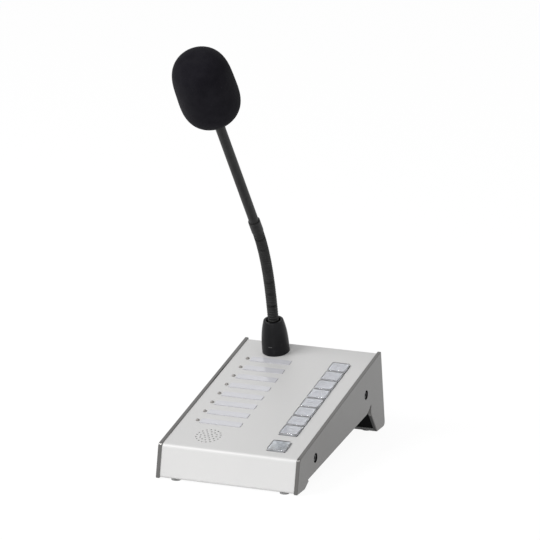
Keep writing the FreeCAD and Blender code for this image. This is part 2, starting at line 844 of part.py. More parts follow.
def rear_panel():
    """The rear plate between the tray's walls, its lower edge folded forward onto the tray."""
    body = new_body("rear_panel", REAR)
    corner = crossing(*level(TRAY_FLOOR), *casing_rear)
    path = [(corner[0] - size("bracket_leg"), TRAY_FLOOR), corner, side_point(REAR, -inset, REAR_TOP)]
    outline = [plane_point(REAR, *point) for point in strip(path, size("rear_sheet"))]
    profile = new_sketch(body, "rear_profile", "YZ_Plane")
    draw_outline(profile, outline)
    walls = f"2 * ({bound('cheek_thick')} + {bound('tray_sheet')} + {bound('fold_gap')})"
    pad(body, profile, f"{bound('width')} - {walls}", symmetric=True)
    round_corners(body, "rear_bend_outer", f"{bound('rear_sheet')} + {bound('bend_inside')}", [outline[1]])
    round_corners(body, "rear_bend_inner", bound("bend_inside"), [outline[4]])
    for side, name in SIDES:
        centre = (side * size("socket_spacing") / 2, size("socket_rise"))
        port = new_sketch(body, f"socket_window_{name}", "XZ_Plane", centre=centre)
        slack = f"2 * {bound('socket_slack')}"
        draw_rectangle(port, f"{bound('socket_wide')} + {slack}", f"{bound('socket_tall')} + {slack}")
        pocket(body, port, f"{bound('casing_inset')} + {bound('rear_sheet')} + 1", backwards=True)
    holes = new_sketch(body, "rear_screw_holes", "XZ_Plane")
    for at in BRACKET_SCREWS:
        draw_circle(holes, SCREW_HOLE, at)
    pocket(body, holes, f"{bound('casing_inset')} + {bound('rear_sheet')} + 1", backwards=True)
    base = plane_point(REAR, 0.0, TRAY_FLOOR + size("rear_sheet") + 1.0)
    folds = new_sketch(body, "rear_fold_holes", "XY_Plane", base[1], (0.0, base[0]), -size("rear_angle"))
    for side, _ in SIDES:
        draw_circle(folds, SCREW_HOLE, (side * CASE_SCREW_SIDE, REAR_SCREW_RUN))
    pocket(body, folds, f"{bound('rear_sheet')} + 2")
    return node(body)


WALL_INSIDE = inner_half - size("tray_sheet")
BRACKET_SIDE = WALL_INSIDE - size("bracket_leg") / 2
BRACKET_SCREWS = [
    (side * BRACKET_SIDE, rise)
    for side, _ in SIDES
    for rise in (size("bracket_screw_low"), size("bracket_screw_high"))
]
REAR_INSIDE = -inset - size("rear_sheet")
OUTWARD = turn(ACROSS, -90)
INWARD = turn(ACROSS, 90)


def rear_brackets():
    """An angle at each side that joins the rear panel to the tray's wall."""
    brackets = []
    tall = f"{REAR_TOP} - 2 - {bound('bracket_rise')}"
    for side, name in SIDES:
        corner = REAR * shift(side * WALL_INSIDE, REAR_INSIDE, size("bracket_rise"))
        sheet_wide = size("bracket_sheet")
        leg = size("bracket_leg")
        across_place = corner * shift(-side * leg / 2, -sheet_wide / 2, 0)
        legs = bound("bracket_leg"), bound("bracket_sheet")
        across_leg = box(f"bracket_{name}_face", across_place, *legs, tall)
        along_place = corner * shift(-side * sheet_wide / 2, -leg / 2, 0)
        along_leg = box(f"bracket_{name}_side", along_place, *legs[::-1], tall)
        blank = fuse(f"bracket_{name}_blank", [across_leg, along_leg])
        rods = []
        for i, (x, rise) in enumerate(BRACKET_SCREWS):
            if x * side > 0:
                place = REAR * shift(x, 0, rise) * INWARD
                reach = bound("bracket_leg")
                rods.append(cylinder(f"bracket_hole_{i}", place, bound("screw_radius"), reach))
        brackets.append(cut(f"bracket_{name}", blank, fuse(f"bracket_{name}_holes", rods)))
    return node(group("rear_brackets", brackets))


def rear_screws():
    screws = []
    for i, (x, rise) in enumerate(BRACKET_SCREWS, start=1):
        place = REAR * shift(x, -inset, rise) * OUTWARD
        screws.append(screw(f"rear_screw_{i}", place, "case_screw_length", "low_head_height"))
    return node(group("rear_screws", screws))


def tray_screws():
    screws = []
    for i, (x, run) in enumerate(FLOOR_SCREWS, start=1):
        place = SIDE * shift(x, run, casing_rise) * turn(ACROSS, 180)
        screws.append(screw(f"tray_screw_{i}", place, "case_screw_length", "thin_head_height"))
    return node(group("tray_screws", screws))


def ring(name, place, radius, bore, height):
    """A round ring standing on its place; sizes are expressions."""
    hole = cylinder(name + "_bore", place, bore, height)
    return cut(name, cylinder(name + "_round", place, radius, height), hole)


def press_nuts():
    """Threaded nuts pressed into the tray: two in each wall, four on its floor."""
    places = []
    for side, _ in SIDES:
        for run, rise in SCREWS:
            places.append(SIDE * shift(side * WALL_INSIDE, run, rise) * turn(AWAY, -90 * side))
    floor = LIP_TOP + size("tray_sheet")
    places += [SIDE * shift(x, run, floor) for x, run in FLOOR_SCREWS]
    nuts = []
    for i, place in enumerate(places, start=1):
        radii = bound("nut_radius"), bound("screw_radius")
        nuts.append(ring(f"press_nut_{i}", place, *radii, bound("nut_thick")))
    return node(group("press_nuts", nuts))


def rubber_feet():
    left = inner_half - size("foot_pad_left_edge")
    right = inner_half - size("foot_pad_right_edge")
    rear = inner_half - size("rear_pad_edge")
    at = [(-left, size("foot_pad_run")), (right, size("foot_pad_run"))]
    at += [(side * rear, size("base_depth") - size("rear_pad_setback")) for side, _ in SIDES]
    feet = []
    for i, (x, run) in enumerate(at, start=1):
        place = SIDE * shift(x, run, -size("cheek_gap"))
        feet.append(cylinder(f"rubber_foot_{i}", place, bound("foot_pad_radius"), bound("foot_pad_height")))
    return node(group("rubber_feet", feet))


def tray_strip():
    """A grey strip on the front of the rear leg's lower edge."""
    lean = math.degrees(math.atan2(TRAY[4][0] - TRAY[3][0], TRAY[3][1] - TRAY[4][1]))
    front = SIDE * shift(0, *TRAY[4]) * tilt(lean) * shift(0, -size("strip_thick") / 2, 0)
    wide = f"{bound('width')} - 2 * {bound('cheek_thick')}"
    return node(box("tray_strip", front, wide, bound("strip_thick"), bound("strip_tall")))


base_tray()
tray_strip()
rear_panel()
rear_brackets()
rear_screws()
tray_screws()
press_nuts()
rubber_feet()

# Buttons

CAP_LONG = f"{ROW_PITCH} - {bound('button_gap')}"
LIP_LEVEL = panel + size("guide_gap") + size("lip_thick")


def button(label, run, long):
    """A clear cap with a lip under the panel at each side and a stem down to its switch."""
    body = new_body(label, DECK * shift(BUTTON_SIDE, run, 0))
    top = new_sketch(body, label + "_top", "XY_Plane", lift=-LIP_LEVEL)
    draw_rectangle(top, bound("button_wide"), long)
    pad(body, top, f"{LIP_LEVEL} + {bound('button_proud')}")
    dress(body, "Fillet", label + "_corners", bound("button_round"), lambda edge: along(edge, UPWARD))

    def crown(edge):
        return all(abs(v.Z - size("button_proud")) < 0.001 for v in edge.Vertexes)

    dress(body, "Fillet", label + "_pillow", bound("cap_pillow"), crown)
    lip = new_sketch(body, label + "_lip", "XY_Plane", lift=-LIP_LEVEL)
    lip_wide = f"{bound('button_wide')} + 2 * {bound('lip_wide')}"
    draw_rectangle(lip, lip_wide, f"{long} - 2 * {bound('button_wall')}")
    pad(body, lip, bound("lip_thick"))
    hollow = new_sketch(body, label + "_hollow", "XY_Plane", lift=-LIP_LEVEL)
    walls = f"2 * {bound('button_wall')}"
    draw_rectangle(hollow, f"{bound('button_wide')} - {walls}", f"{long} - {walls}")
    pocket(body, hollow, f"{LIP_LEVEL} + {bound('button_proud')} - {bound('cap_roof')}", backwards=True)
    stem = new_sketch(body, label + "_stem", "XY_Plane", lift=-size("stem_foot"))
    draw_circle(stem, bound("stem_radius"))
    reach = f"{bound('stem_foot')} + {bound('button_proud')} - {bound('cap_roof')} / 2"
    pad(body, stem, reach)
    return node(body)


for number, run in enumerate(ROW_RUNS[::-1], start=1):
    button(f"zone_button_{number}", run, CAP_LONG)
button("talk_button", size("talk_run"), bound("talk_long"))

SLOT_START = ROW_RUNS[0] - ROW_PITCH / 2
SLOT_END = ROW_RUNS[-1] + ROW_PITCH / 2
TALK_START = size("talk_run") - size("talk_long") / 2 - size("button_slack")
TALK_END = size("talk_run") + size("talk_long") / 2 + size("button_slack")
BUTTON_RUNS = [size("talk_run")] + ROW_RUNS


def button_guide():
    """The dark frame under the panel: troughs for the caps' lips, holes for stems, wells for switches."""
    body = new_body("button_guide", DECK)
    side = BUTTON_SIDE
    gap = size("trough_gap")
    level = panel + size("guide_gap")
    start = TALK_START - gap - size("guide_wall")
    end = SLOT_END + gap + size("guide_wall")
    trough = f"{bound('button_wide')} + 2 * {bound('lip_wide')} + 2 * {bound('trough_gap')}"
    block = new_sketch(body, "guide_block", "XY_Plane", -level, (side, (start + end) / 2))
    draw_rectangle(block, f"{trough} + 2 * {bound('guide_wall')}", str(end - start))
    pad(body, block, f"{bound('board_depth')} - {level}", backwards=True)
    for name, low, high in (("zone", SLOT_START, SLOT_END), ("talk", TALK_START, TALK_END)):
        open_top = new_sketch(body, f"{name}_trough", "XY_Plane", -level, (side, (low + high) / 2))
        draw_rectangle(open_top, trough, str(high - low + 2 * gap))
        pocket(body, open_top, bound("trough_depth"))
    holes = new_sketch(body, "stem_holes", "XY_Plane", -level)
    wells = new_sketch(body, "switch_wells", "XY_Plane", -size("board_depth"))
    for run in BUTTON_RUNS:
        draw_circle(holes, f"{bound('stem_radius')} + {bound('stem_slack')}", (side, run))
        draw_circle(wells, f"0.75 * {bound('switch_side')} + 0.5", (side, run))
    pocket(body, holes, f"{bound('board_depth')} - {level}")
    pocket(body, wells, bound("switch_well"), backwards=True)
    return node(body)


def switch_bodies():
    """A push switch on the board below each cap, open at the middle for the stem."""
    switches = []
    for i, run in enumerate(BUTTON_RUNS):
        place = DECK * shift(BUTTON_SIDE, run, -size("board_depth"))
        sides = bound("switch_side"), bound("switch_side")
        block = box(f"switch_{i}_block", place, *sides, bound("switch_height"))
        bore = f"{bound('stem_radius')} + {bound('switch_bore_gap')}"
        hole = cylinder(f"switch_{i}_bore", place, bore, bound("switch_height"))
        switches.append(cut(f"switch_{i}", block, hole))
    return node(group("switch_bodies", switches))


button_guide()
switch_bodies()

# Lamps and labels

lens_centre = (-WINDOW_SIDE, ROWS_MIDDLE)
LENS_WIDE = f"({bound('window_wide')} + 2 * {bound('lens_margin')})"
LENS_LONG = f"({SLOT_LONG} - {ROW_PITCH} + {bound('window_tall')} + 2 * {bound('lens_end')})"


def zone_lamps():
    """A small lamp at the left of each row, its dome just above the panel."""
    lamps = []
    for i, run in enumerate(ROW_RUNS, start=1):
        place = DECK * shift(-LAMP_SIDE, run, 0)
        base = panel + size("backing_thick")
        dome = doc.addObject("Part::Sphere", f"lamp_{i}_dome")
        dome.setExpression("Radius", bound("lamp_radius"))
        dome.Placement = place * shift(0, 0, size("lamp_proud") - size("lamp_radius"))
        tall = f"{base} + {bound('lamp_proud')} - {bound('lamp_radius')}"
        glass = cylinder(f"lamp_{i}_glass", place * shift(0, 0, -base), bound("lamp_radius"), tall)
        rim = f"{bound('lamp_radius')} + {bound('lamp_flange')}"
        foot = place * shift(0, 0, -base - size("lamp_flange_thick"))
        flange = cylinder(f"lamp_{i}_flange", foot, rim, bound("lamp_flange_thick"))
        pieces = [dome, glass, flange]
        for side, name in SIDES:
            foot = place * shift(0, side * size("lamp_pitch") / 2, -size("board_depth"))
            wire = size("lamp_wire")
            tall = f"{bound('board_depth')} - {base} - {bound('lamp_flange')}"
            pieces.append(box(f"lamp_{i}_wire_{name}", foot, str(wire), str(wire), tall))
        lamps.append(fuse(f"lamp_{i}", pieces))
    return node(group("zone_lamps", lamps))


def label_lens():
    """One clear plate behind the panel whose eight pads fill the label windows."""
    body = new_body("label_lens", DECK)
    plate = new_sketch(body, "lens_plate", "XY_Plane", -panel, lens_centre)
    draw_rectangle(plate, LENS_WIDE, LENS_LONG)
    pad(body, plate, bound("lens_sheet"), backwards=True)
    window = new_sketch(body, "lens_window", "XY_Plane", -panel, (lens_centre[0], ROW_RUNS[0]))
    slack = f"2 * {bound('lens_slack')}"
    draw_rectangle(window, f"{bound('window_wide')} - {slack}", f"{bound('window_tall')} - {slack}")
    raised = pad(body, window, f"{bound('panel_sheet')} + {bound('lens_proud')}")
    rows = body.newObject("PartDesign::LinearPattern", "lens_windows")
    rows.Originals = [raised]
    rows.Direction = (window, ["V_Axis"])
    rows.setExpression("Length", f"({bound('rows')} - 1) * {ROW_PITCH}")
    rows.setExpression("Occurrences", bound("rows"))
    body.Tip = rows

    def window_corner(edge):
        return along(edge, UPWARD) and edge.CenterOfMass.z > -panel

    dress(body, "Fillet", "lens_corners", bound("window_round"), window_corner)
    return node(body)


def label_card():
    """The paper strip with the zone names, between the clear plate and its backing."""
    place = DECK * shift(*lens_centre, -panel - size("lens_sheet") - size("card_sheet"))
    return node(box("label_card", place, LENS_WIDE, LENS_LONG, bound("card_sheet")))


def label_backing():
    """The tray behind the card, with a hole for each lamp."""
    body = new_body("label_backing", DECK)
    left = -LAMP_SIDE - size("lamp_radius") - size("lamp_flange") - size("lamp_rim")
    rim = size("lens_margin") + size("lens_slack") + size("backing_rim")
    right = lens_centre[0] + size("window_wide") / 2 + rim
    middle = ((left + right) / 2, ROWS_MIDDLE)
    plate = new_sketch(body, "backing_plate", "XY_Plane", -panel, middle)
    margin = f"2 * ({bound('lens_slack')} + {bound('backing_rim')})"
    draw_rectangle(plate, str(right - left), f"{LENS_LONG} + {margin}")
    pad(body, plate, bound("backing_thick"), backwards=True)
    seat = new_sketch(body, "backing_seat", "XY_Plane", -panel, lens_centre)
    slack = f"2 * {bound('lens_slack')}"
    draw_rectangle(seat, f"{LENS_WIDE} + {slack}", f"{LENS_LONG} + {slack}")
    pocket(body, seat, f"{bound('lens_sheet')} + {bound('card_sheet')}")
    holes = new_sketch(body, "backing_lamp_holes", "XY_Plane", -panel)
    for run in ROW_RUNS:
        draw_circle(holes, f"{bound('lamp_radius')} + {bound('lamp_slack')}", (-LAMP_SIDE, run))
    pocket(body, holes, bound("backing_thick"))
    return node(body)


zone_lamps()
label_lens()
label_card()
label_backing()

# Loudspeaker behind the grille

SPEAKER = DECK * shift(-GRILLE_SIDE, size("grille_run"), -panel)


def speaker():
    """Cloth, frame, cone and magnet, hung from the panel behind the grille."""
    cloth = size("cloth_thick")
    outer = size("speaker_radius")
    inner = outer - size("speaker_rim")
    back = cloth + size("speaker_depth")
    neck = size("magnet_radius") - 2.0
    plate = size("magnet_radius") + 1.2
    place = SPEAKER * shift(0, 0, -cloth)
    node(cylinder("speaker_cloth", place, bound("cloth_radius"), bound("cloth_thick")))
    frame = [(inner, -cloth), (outer, -cloth), (outer, -cloth - 1.2), (plate, -back)]
    frame += [(neck, -back), (neck, 1.0 - back), (plate - 0.4, 1.0 - back), (inner, -cloth - 1.1)]
    node(turned("speaker_frame", frame, SPEAKER))
    thick = size("cone_thick")
    low = -cloth - 3.0
    cone = [(0.0, low), (4.0, low), (inner, -cloth - thick), (inner, -cloth)]
    cone += [(4.0, low + thick), (0.0, low + thick)]
    node(turned("speaker_cone", cone, SPEAKER))
    place = SPEAKER * shift(0, 0, -back - size("magnet_thick"))
    node(cylinder("speaker_magnet", place, bound("magnet_radius"), bound("magnet_thick")))


speaker()

# Main board

BOARD_HALF = WALL_INSIDE - size("nut_thick") - size("board_gap")
BOARD_START = panel + size("board_front_gap")
BOARD_END = SLOT_END + size("board_margin")
BOARD_MIDDLE = (BOARD_START + BOARD_END) / 2
BOARD_UNDER = size("board_depth") + size("board_sheet")
SPACER_SIDE = BOARD_HALF - size("spacer_edge")
SPACERS = [
    (side * SPACER_SIDE, run)
    for side, _ in SIDES
    for run in (BOARD_START + size("spacer_ends"), BOARD_MIDDLE, BOARD_END - size("spacer_ends"))
]


def main_board():
    body = new_body("main_board", DECK)
    sheet_outline = new_sketch(body, "board_outline", "XY_Plane", -size("board_depth"), (0.0, BOARD_MIDDLE))
    draw_rectangle(sheet_outline, str(2 * BOARD_HALF), str(BOARD_END - BOARD_START))
    pad(body, sheet_outline, bound("board_sheet"), backwards=True)
    holes = new_sketch(body, "board_holes", "XY_Plane", -size("board_depth"))
    for at in SPACERS:
        draw_circle(holes, f"{bound('board_screw_radius')} + {bound('screw_slack')}", at)
    pocket(body, holes, bound("board_sheet"))
    return node(body)


def board_hardware():
    """Spacers from the panel down to the board, and the screws that hold the board to them."""
    spacers = []
    screws = []
    tall = f"{bound('board_depth')} - {bound('panel_sheet')}"
    for i, (x, run) in enumerate(SPACERS, start=1):
        foot = DECK * shift(x, run, -size("board_depth"))
        radii = bound("spacer_radius"), bound("board_screw_radius")
        spacers.append(ring(f"board_spacer_{i}", foot, *radii, tall))
        place = DECK * shift(x, run, -BOARD_UNDER) * turn(ACROSS, 180)
        name = f"board_screw_{i}"
        screws.append(screw(name, place, "board_screw_length", "low_head_height", "board_screw_radius"))
    node(group("board_spacers", spacers))
    node(group("board_screws", screws))


def board_parts():
    """Chips and capacitors on the underside of the board."""
    chips = []
    capacitors = []
    shares = [(across, up) for across in (-0.5, 0.1) for up in (0.35, 0.6)]
    for i, (across, up) in enumerate(shares, start=1):
        x = across * BOARD_HALF
        run = BOARD_START + up * (BOARD_END - BOARD_START)
        place = DECK * shift(x, run, -BOARD_UNDER - size("chip_thick"))
        chips.append(box(f"chip_{i}", place, bound("chip_side"), bound("chip_side"), bound("chip_thick")))
        beside = x + size("chip_side") + size("capacitor_radius")
        place = DECK * shift(beside, run, -BOARD_UNDER - size("capacitor_height"))
        radii = bound("capacitor_radius"), bound("capacitor_height")
        capacitors.append(cylinder(f"capacitor_{i}", place, *radii))
    node(group("logic_chips", chips))
    node(group("board_capacitors", capacitors))


main_board()
board_hardware()
board_parts()

# Link sockets at the rear

SOCKET_BACK = -inset - size("socket_deep")


def link_sockets():
    """Two sockets side by side, their mouths level with the rear panel."""
    sockets = []
    for side, name in SIDES:
        x = side * size("socket_spacing") / 2
        place = REAR * shift(x, SOCKET_BACK, size("socket_rise")) * OUTWARD
        face = bound("socket_wide"), bound("socket_tall")
        shell = box(f"socket_{name}_shell", place, *face, bound("socket_deep"))
        mouth = place * shift(0, 0, size("socket_deep") - size("port_deep"))
        opening = bound("port_wide"), bound("port_tall")
        port = box(f"socket_{name}_port", mouth, *opening, bound("port_deep"))
        sockets.append(cut(f"link_socket_{name}", shell, port))
    return node(group("link_sockets", sockets))


def interface_board():
    place = REAR * shift(0, SOCKET_BACK, size("socket_rise")) * INWARD
    face = bound("link_board_wide"), bound("link_board_tall")
    return node(box("interface_board", place, *face, bound("board_sheet")))


def socket_board_spacers():
    spacers = []
    half_wide = size("link_board_wide") / 2 - size("link_spacer_edge")
    half_tall = size("link_board_tall") / 2 - size("link_spacer_edge")
    length = f"{bound('socket_deep')} - {bound('rear_sheet')}"
    for side, name in SIDES:
        for rise in (-half_tall, half_tall):
            place = REAR * shift(side * half_wide, REAR_INSIDE, size("socket_rise") + rise) * INWARD
            rod = cylinder(f"link_spacer_{len(spacers)}", place, bound("link_spacer_radius"), length)
            spacers.append(rod)
    return node(group("socket_board_spacers", spacers))


link_sockets()
interface_board()
socket_board_spacers()

# Gooseneck

NECK = DECK * shift(-NECK_SIDE, NECK_RUN, 0)
STEP = (size("ribs_each") + 1) * size("rib_pitch")
SHOULDER = size("rib_pitch") / 2
BORE = size("neck_bore")
# How late the boot narrows and the neck bends on the way up: 1 would be even
BOOT_CURL = 2.65
NECK_CURL = 1.62


def ball(body, name):
    """The ball at a segment's lower end, centred on its hinge, with the bore through it."""
    sphere = body.newObject("PartDesign::AdditiveSphere", name + "_ball")
    sphere.setExpression("Radius", bound("neck_ball"))
    hole = new_sketch(body, name + "_bore", "XY_Plane", lift=-size("neck_ball") - 1)
    draw_circle(hole, bound("neck_bore"))
    pocket(body, hole, f"2 * {bound('neck_ball')} + 2", backwards=True)


def cup(body, name, height):
    """The cup at a segment's upper end, centred on the next hinge."""
    sphere = body.newObject("PartDesign::SubtractiveSphere", name + "_cup")
    sphere.setExpression("Radius", f"{bound('neck_ball')} + {bound('ball_slack')}")
    sphere.Placement = shift(0, 0, height)


def neck_base():
    """Threaded foot with a flange on the panel and a tube that carries the first hinge."""
    thread = size("thread_radius")
    flange = size("flange_radius")
    tube = size("neck_tube_radius")
    end = size("neck_rise") - SHOULDER
    foot = -size("thread_length")
    step = size("flange_thick")
    outline = [(BORE, foot), (thread, foot), (thread, 0.0), (flange, 0.0)]
    outline += [(flange, step), (tube, step), (tube, end), (BORE, end)]
    body = turned("neck_base", outline, NECK)
    cup(body, "neck_base", size("neck_rise"))
    return node(body)


def neck_fixings():
    """The washer and nut that clamp the threaded foot from below."""
    place = NECK * shift(0, 0, -panel - size("washer_thick"))
    bore = f"{bound('thread_radius')} + {bound('screw_slack')}"
    node(ring("neck_washer", place, bound("washer_radius"), bore, bound("washer_thick")))
    place = place * shift(0, 0, -size("neck_nut_thick"))
    blank = doc.addObject("Part::Prism", "neck_nut_blank")
    blank.Polygon = 6
    blank.setExpression("Circumradius", bound("neck_nut_radius"))
    blank.setExpression("Height", bound("neck_nut_thick"))
    blank.Placement = place
    hole = cylinder("neck_nut_bore", place, bound("thread_radius"), bound("neck_nut_thick"))
    node(cut("neck_nut", blank, hole))


def gooseneck_boot():
    """The tapered cover over the foot of the neck."""
    tall = size("boot_height")
    foot = size("boot_radius")
    drop = foot - size("boot_top_radius")
    shares = [i / 6 for i in range(7)]
    curve = [(foot - drop * share ** BOOT_CURL, tall * share) for share in shares]
    mouth = size("boot_mouth")
    cavity = foot - size("boot_wall")
    shoulder = size("boot_shoulder")
    inside = [(mouth, tall), (mouth, shoulder + size("boot_taper")), (cavity, shoulder), (cavity, 0.0)]
    body = turned("gooseneck_boot", inside, NECK, curve)

    def rim(edge):
        return all(abs(v.Z - tall) < 0.001 for v in edge.Vertexes)

    dress(body, "Fillet", "boot_lip_round", bound("boot_lip"), rim)
    return node(body)


def lean(step):
    """Lean of the neck from upright, in degrees, after a number of steps from its foot."""
    share = (step / size("flex_parts")) ** NECK_CURL
    return size("deck_angle") + (size("neck_top_angle") - size("deck_angle")) * share


def flex_outline():
    """Radius and height pairs of one ribbed segment, between its two shoulders."""
    pitch = size("rib_pitch")
    ramp = (pitch - size("rib_land")) / 2
    points = [(BORE, SHOULDER), (size("neck_groove"), SHOULDER)]
    for i in range(int(size("ribs_each"))):
        start = SHOULDER + i * pitch
        points.append((size("neck_radius"), start + ramp))
        points.append((size("neck_radius"), start + pitch - ramp))
        points.append((size("neck_groove"), start + pitch))
    points.append((BORE, points[-1][1]))
    return points


def flex_chain():
    """The ribbed segments, each on the hinge at the end of the one below; returns the last hinge."""
    hinge = NECK * shift(0, 0, size("neck_rise"))
    reached = size("deck_angle")
    outline = flex_outline()
    for number in range(1, int(size("flex_parts")) + 1):
        wanted = lean(number - 0.5)
        place = hinge * tilt(wanted - reached)
        body = turned(f"flex_{number}", outline, place)
        ball(body, f"flex_{number}")
        cup(body, f"flex_{number}", STEP)
        node(body)
        hinge = place * shift(0, 0, STEP)
        reached = wanted
    return hinge * tilt(size("neck_top_angle") - reached)


neck_base()
neck_fixings()
gooseneck_boot()
STEM = flex_chain()

# Microphone

FOAM_START = size("foam_middle") - size("foam_length") / 2
HOLDER_START = FOAM_START + size("holder_start")
# The foam's side view: how square its ends and sides are, and how much slimmer its tip is
FOAM_END_POWER = 2.95
FOAM_SIDE_POWER = 3.67
FOAM_TAPER = 0.035
HOLDER_END = size("foam_middle") + size("holder_rise")
STEM_START = SHOULDER + size("ferrule_floor")


def neck_ferrule():
    """The plain collar between the ribbed neck and the stem."""
    edge = size("ferrule_edge")
    outer = size("ferrule_radius")
    tube = size("stem_tube_radius")
    end = SHOULDER + size("ferrule_length")
    outline = [(BORE, SHOULDER), (outer - edge, SHOULDER), (outer, SHOULDER + edge), (outer, end - edge)]
    outline += [(outer - edge, end), (tube, end), (tube, STEM_START), (BORE, STEM_START)]
    body = turned("neck_ferrule", outline, STEM)
    ball(body, "neck_ferrule")
    return node(body)


def neck_stem():
    length = f"{FOAM_START} + {bound('stem_overlap')} - {STEM_START}"
    bore = f"{bound('stem_tube_radius')} - {bound('stem_tube_wall')}"
    return node(ring("neck_stem", STEM * shift(0, 0, STEM_START), bound("stem_tube_radius"), bore, length))


def capsule_holder():
    """The sleeve on the stem's end that carries the microphone capsule."""
    outer = size("holder_radius")
    tube = size("stem_tube_radius")
    seat = size("capsule_radius")
    shelf = HOLDER_END - size("capsule_setback") - size("capsule_thick")
    outline = [(tube, HOLDER_START), (outer, HOLDER_START), (outer, HOLDER_END), (seat, HOLDER_END)]
    outline += [(seat, shelf), (tube, shelf)]
    node(turned("capsule_holder", outline, STEM))
    place = STEM * shift(0, 0, shelf)
    node(cylinder("microphone_capsule", place, bound("capsule_radius"), bound("capsule_thick")))


def windscreen():
    """The foam: a rounded barrel, a little slimmer at its tip, hollow for the capsule holder."""
    points = []
    for i in range(-8, 9):
        angle = math.radians(i * 90 / 8)
        share = math.copysign(abs(math.sin(angle)) ** (2 / FOAM_SIDE_POWER), angle)
        spread = abs(math.cos(angle)) ** (2 / FOAM_END_POWER) if abs(i) < 8 else 0.0
        radius = size("foam_radius") * (1 - FOAM_TAPER * share) * spread
        points.append((radius, size("foam_middle") + share * size("foam_length") / 2))
    body = turned("windscreen", [], STEM, points)
    hole = new_sketch(body, "foam_hole", "XY_Plane", lift=FOAM_START - 1)
    draw_circle(hole, bound("stem_tube_radius"))
    pocket(body, hole, f"{bound('holder_start')} + 1", backwards=True)
    cavity = new_sketch(body, "foam_cavity", "XY_Plane", lift=HOLDER_START)
    draw_circle(cavity, bound("holder_radius"))
    pocket(body, cavity, str(HOLDER_END - HOLDER_START), backwards=True)
    return node(body)


neck_ferrule()
neck_stem()
capsule_holder()
windscreen()

# Output

doc.recompute()
for item in doc.Objects:
    if "Invalid" in item.State or "Error" in item.State:
        raise RuntimeError(f"{item.Label} did not build: {item.State}")
os.makedirs("parts", exist_ok=True)
for piece in nodes:
    shape = piece.Shape
    if shape.isNull() or not shape.isValid() or not shape.Solids:
        raise RuntimeError(f"{piece.Label} is not a sound solid")
    shape.exportStep(f"parts/{piece.Label}.step")

bounds = [piece.Shape.BoundBox for piece in nodes]
low = [min(b.XMin for b in bounds), min(b.YMin for b in bounds), min(b.ZMin for b in bounds)]
high = [max(b.XMax for b in bounds), max(b.YMax for b in bounds), max(b.ZMax for b in bounds)]
print("pieces", len(nodes))
print("from", [round(value, 2) for value in low], "to", [round(value, 2) for value in high])
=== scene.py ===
# %% [markdown]
# # A paging call station
# A low sloping desk unit with two machined side plates, a row of clear buttons, label windows with lamps,
# and a microphone on a flexible neck. The solid model comes from the CAD files. This script gives it
# finishes, and replaces the soft and flexible parts, which CAD solids can't show well.

import json
import math

import bmesh
import bpy
from mathutils import Matrix, Vector


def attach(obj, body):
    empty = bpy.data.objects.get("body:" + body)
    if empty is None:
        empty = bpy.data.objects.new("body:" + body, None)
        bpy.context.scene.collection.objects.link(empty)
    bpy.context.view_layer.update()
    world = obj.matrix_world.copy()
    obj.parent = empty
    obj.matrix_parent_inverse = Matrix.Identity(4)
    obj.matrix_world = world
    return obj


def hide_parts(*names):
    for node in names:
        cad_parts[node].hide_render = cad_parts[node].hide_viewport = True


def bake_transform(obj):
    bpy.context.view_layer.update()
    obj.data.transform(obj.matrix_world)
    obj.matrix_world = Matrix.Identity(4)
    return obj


bpy.context.scene.view_settings.view_transform = "Standard"
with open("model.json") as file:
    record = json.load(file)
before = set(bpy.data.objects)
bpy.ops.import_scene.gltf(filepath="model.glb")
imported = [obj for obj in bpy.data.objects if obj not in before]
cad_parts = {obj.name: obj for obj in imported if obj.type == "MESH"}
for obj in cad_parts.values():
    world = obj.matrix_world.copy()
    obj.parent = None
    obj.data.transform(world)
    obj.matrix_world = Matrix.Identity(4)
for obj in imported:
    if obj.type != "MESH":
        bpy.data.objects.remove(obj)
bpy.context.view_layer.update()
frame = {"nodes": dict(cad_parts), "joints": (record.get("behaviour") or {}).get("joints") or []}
nodes = frame["nodes"]
joints = {joint["name"]: joint for joint in frame["joints"]}
mm = 0.001

# %% [markdown]
# ## Camera
# A product photo is taken from far away with a long lens, so that near and far edges stay almost parallel.
# The camera's turn is built from two angles, as a tripod head is set, with a very small roll, and its place
# was fitted to the edges of the housing.

# %% Place the camera
SENSOR = 36.0
FOCAL_PIXELS = 3661.7
PICTURE_PIXELS = 540
FAR_LIMIT = 60.0
AZIMUTH = math.radians(21.926)
ELEVATION = math.radians(14.898)
ROLL = math.radians(-0.059)
STAND = Vector((1.1182, -2.7814, 0.9602))

camera = bpy.data.cameras.new("camera")
camera.sensor_width = SENSOR
camera.lens = SENSOR * FOCAL_PIXELS / PICTURE_PIXELS
camera.clip_end = FAR_LIMIT
viewer = bpy.data.objects.new("camera", camera)
bpy.context.scene.collection.objects.link(viewer)
turned = Matrix.Rotation(AZIMUTH, 4, "Z") @ Matrix.Rotation(math.pi / 2 - ELEVATION, 4, "X")
viewer.matrix_world = Matrix.Translation(STAND) @ turned @ Matrix.Rotation(ROLL, 4, "Z")
bpy.context.scene.camera = viewer
print("lens", round(camera.lens, 1), "mm")

# %% [markdown]
# ## Light
# A white table and large soft lamps, as in a studio tent. The key lamp stands high at the left, a small one
# beside it gives the sharp glints on the caps, and two more lighten the front and the right side.

# %% Lamps


def lamp(name, place, aim, wide, watts):
    """A square soft lamp at place that faces aim, so many metres wide and with so many watts."""
    light = bpy.data.lights.new(name, "AREA")
    light.shape = "SQUARE"
    light.size = wide
    light.energy = watts
    holder = bpy.data.objects.new(name, light)
    holder.location = place
    holder.rotation_euler = (Vector(aim) - Vector(place)).to_track_quat("-Z", "Y").to_euler()
    bpy.context.scene.collection.objects.link(holder)


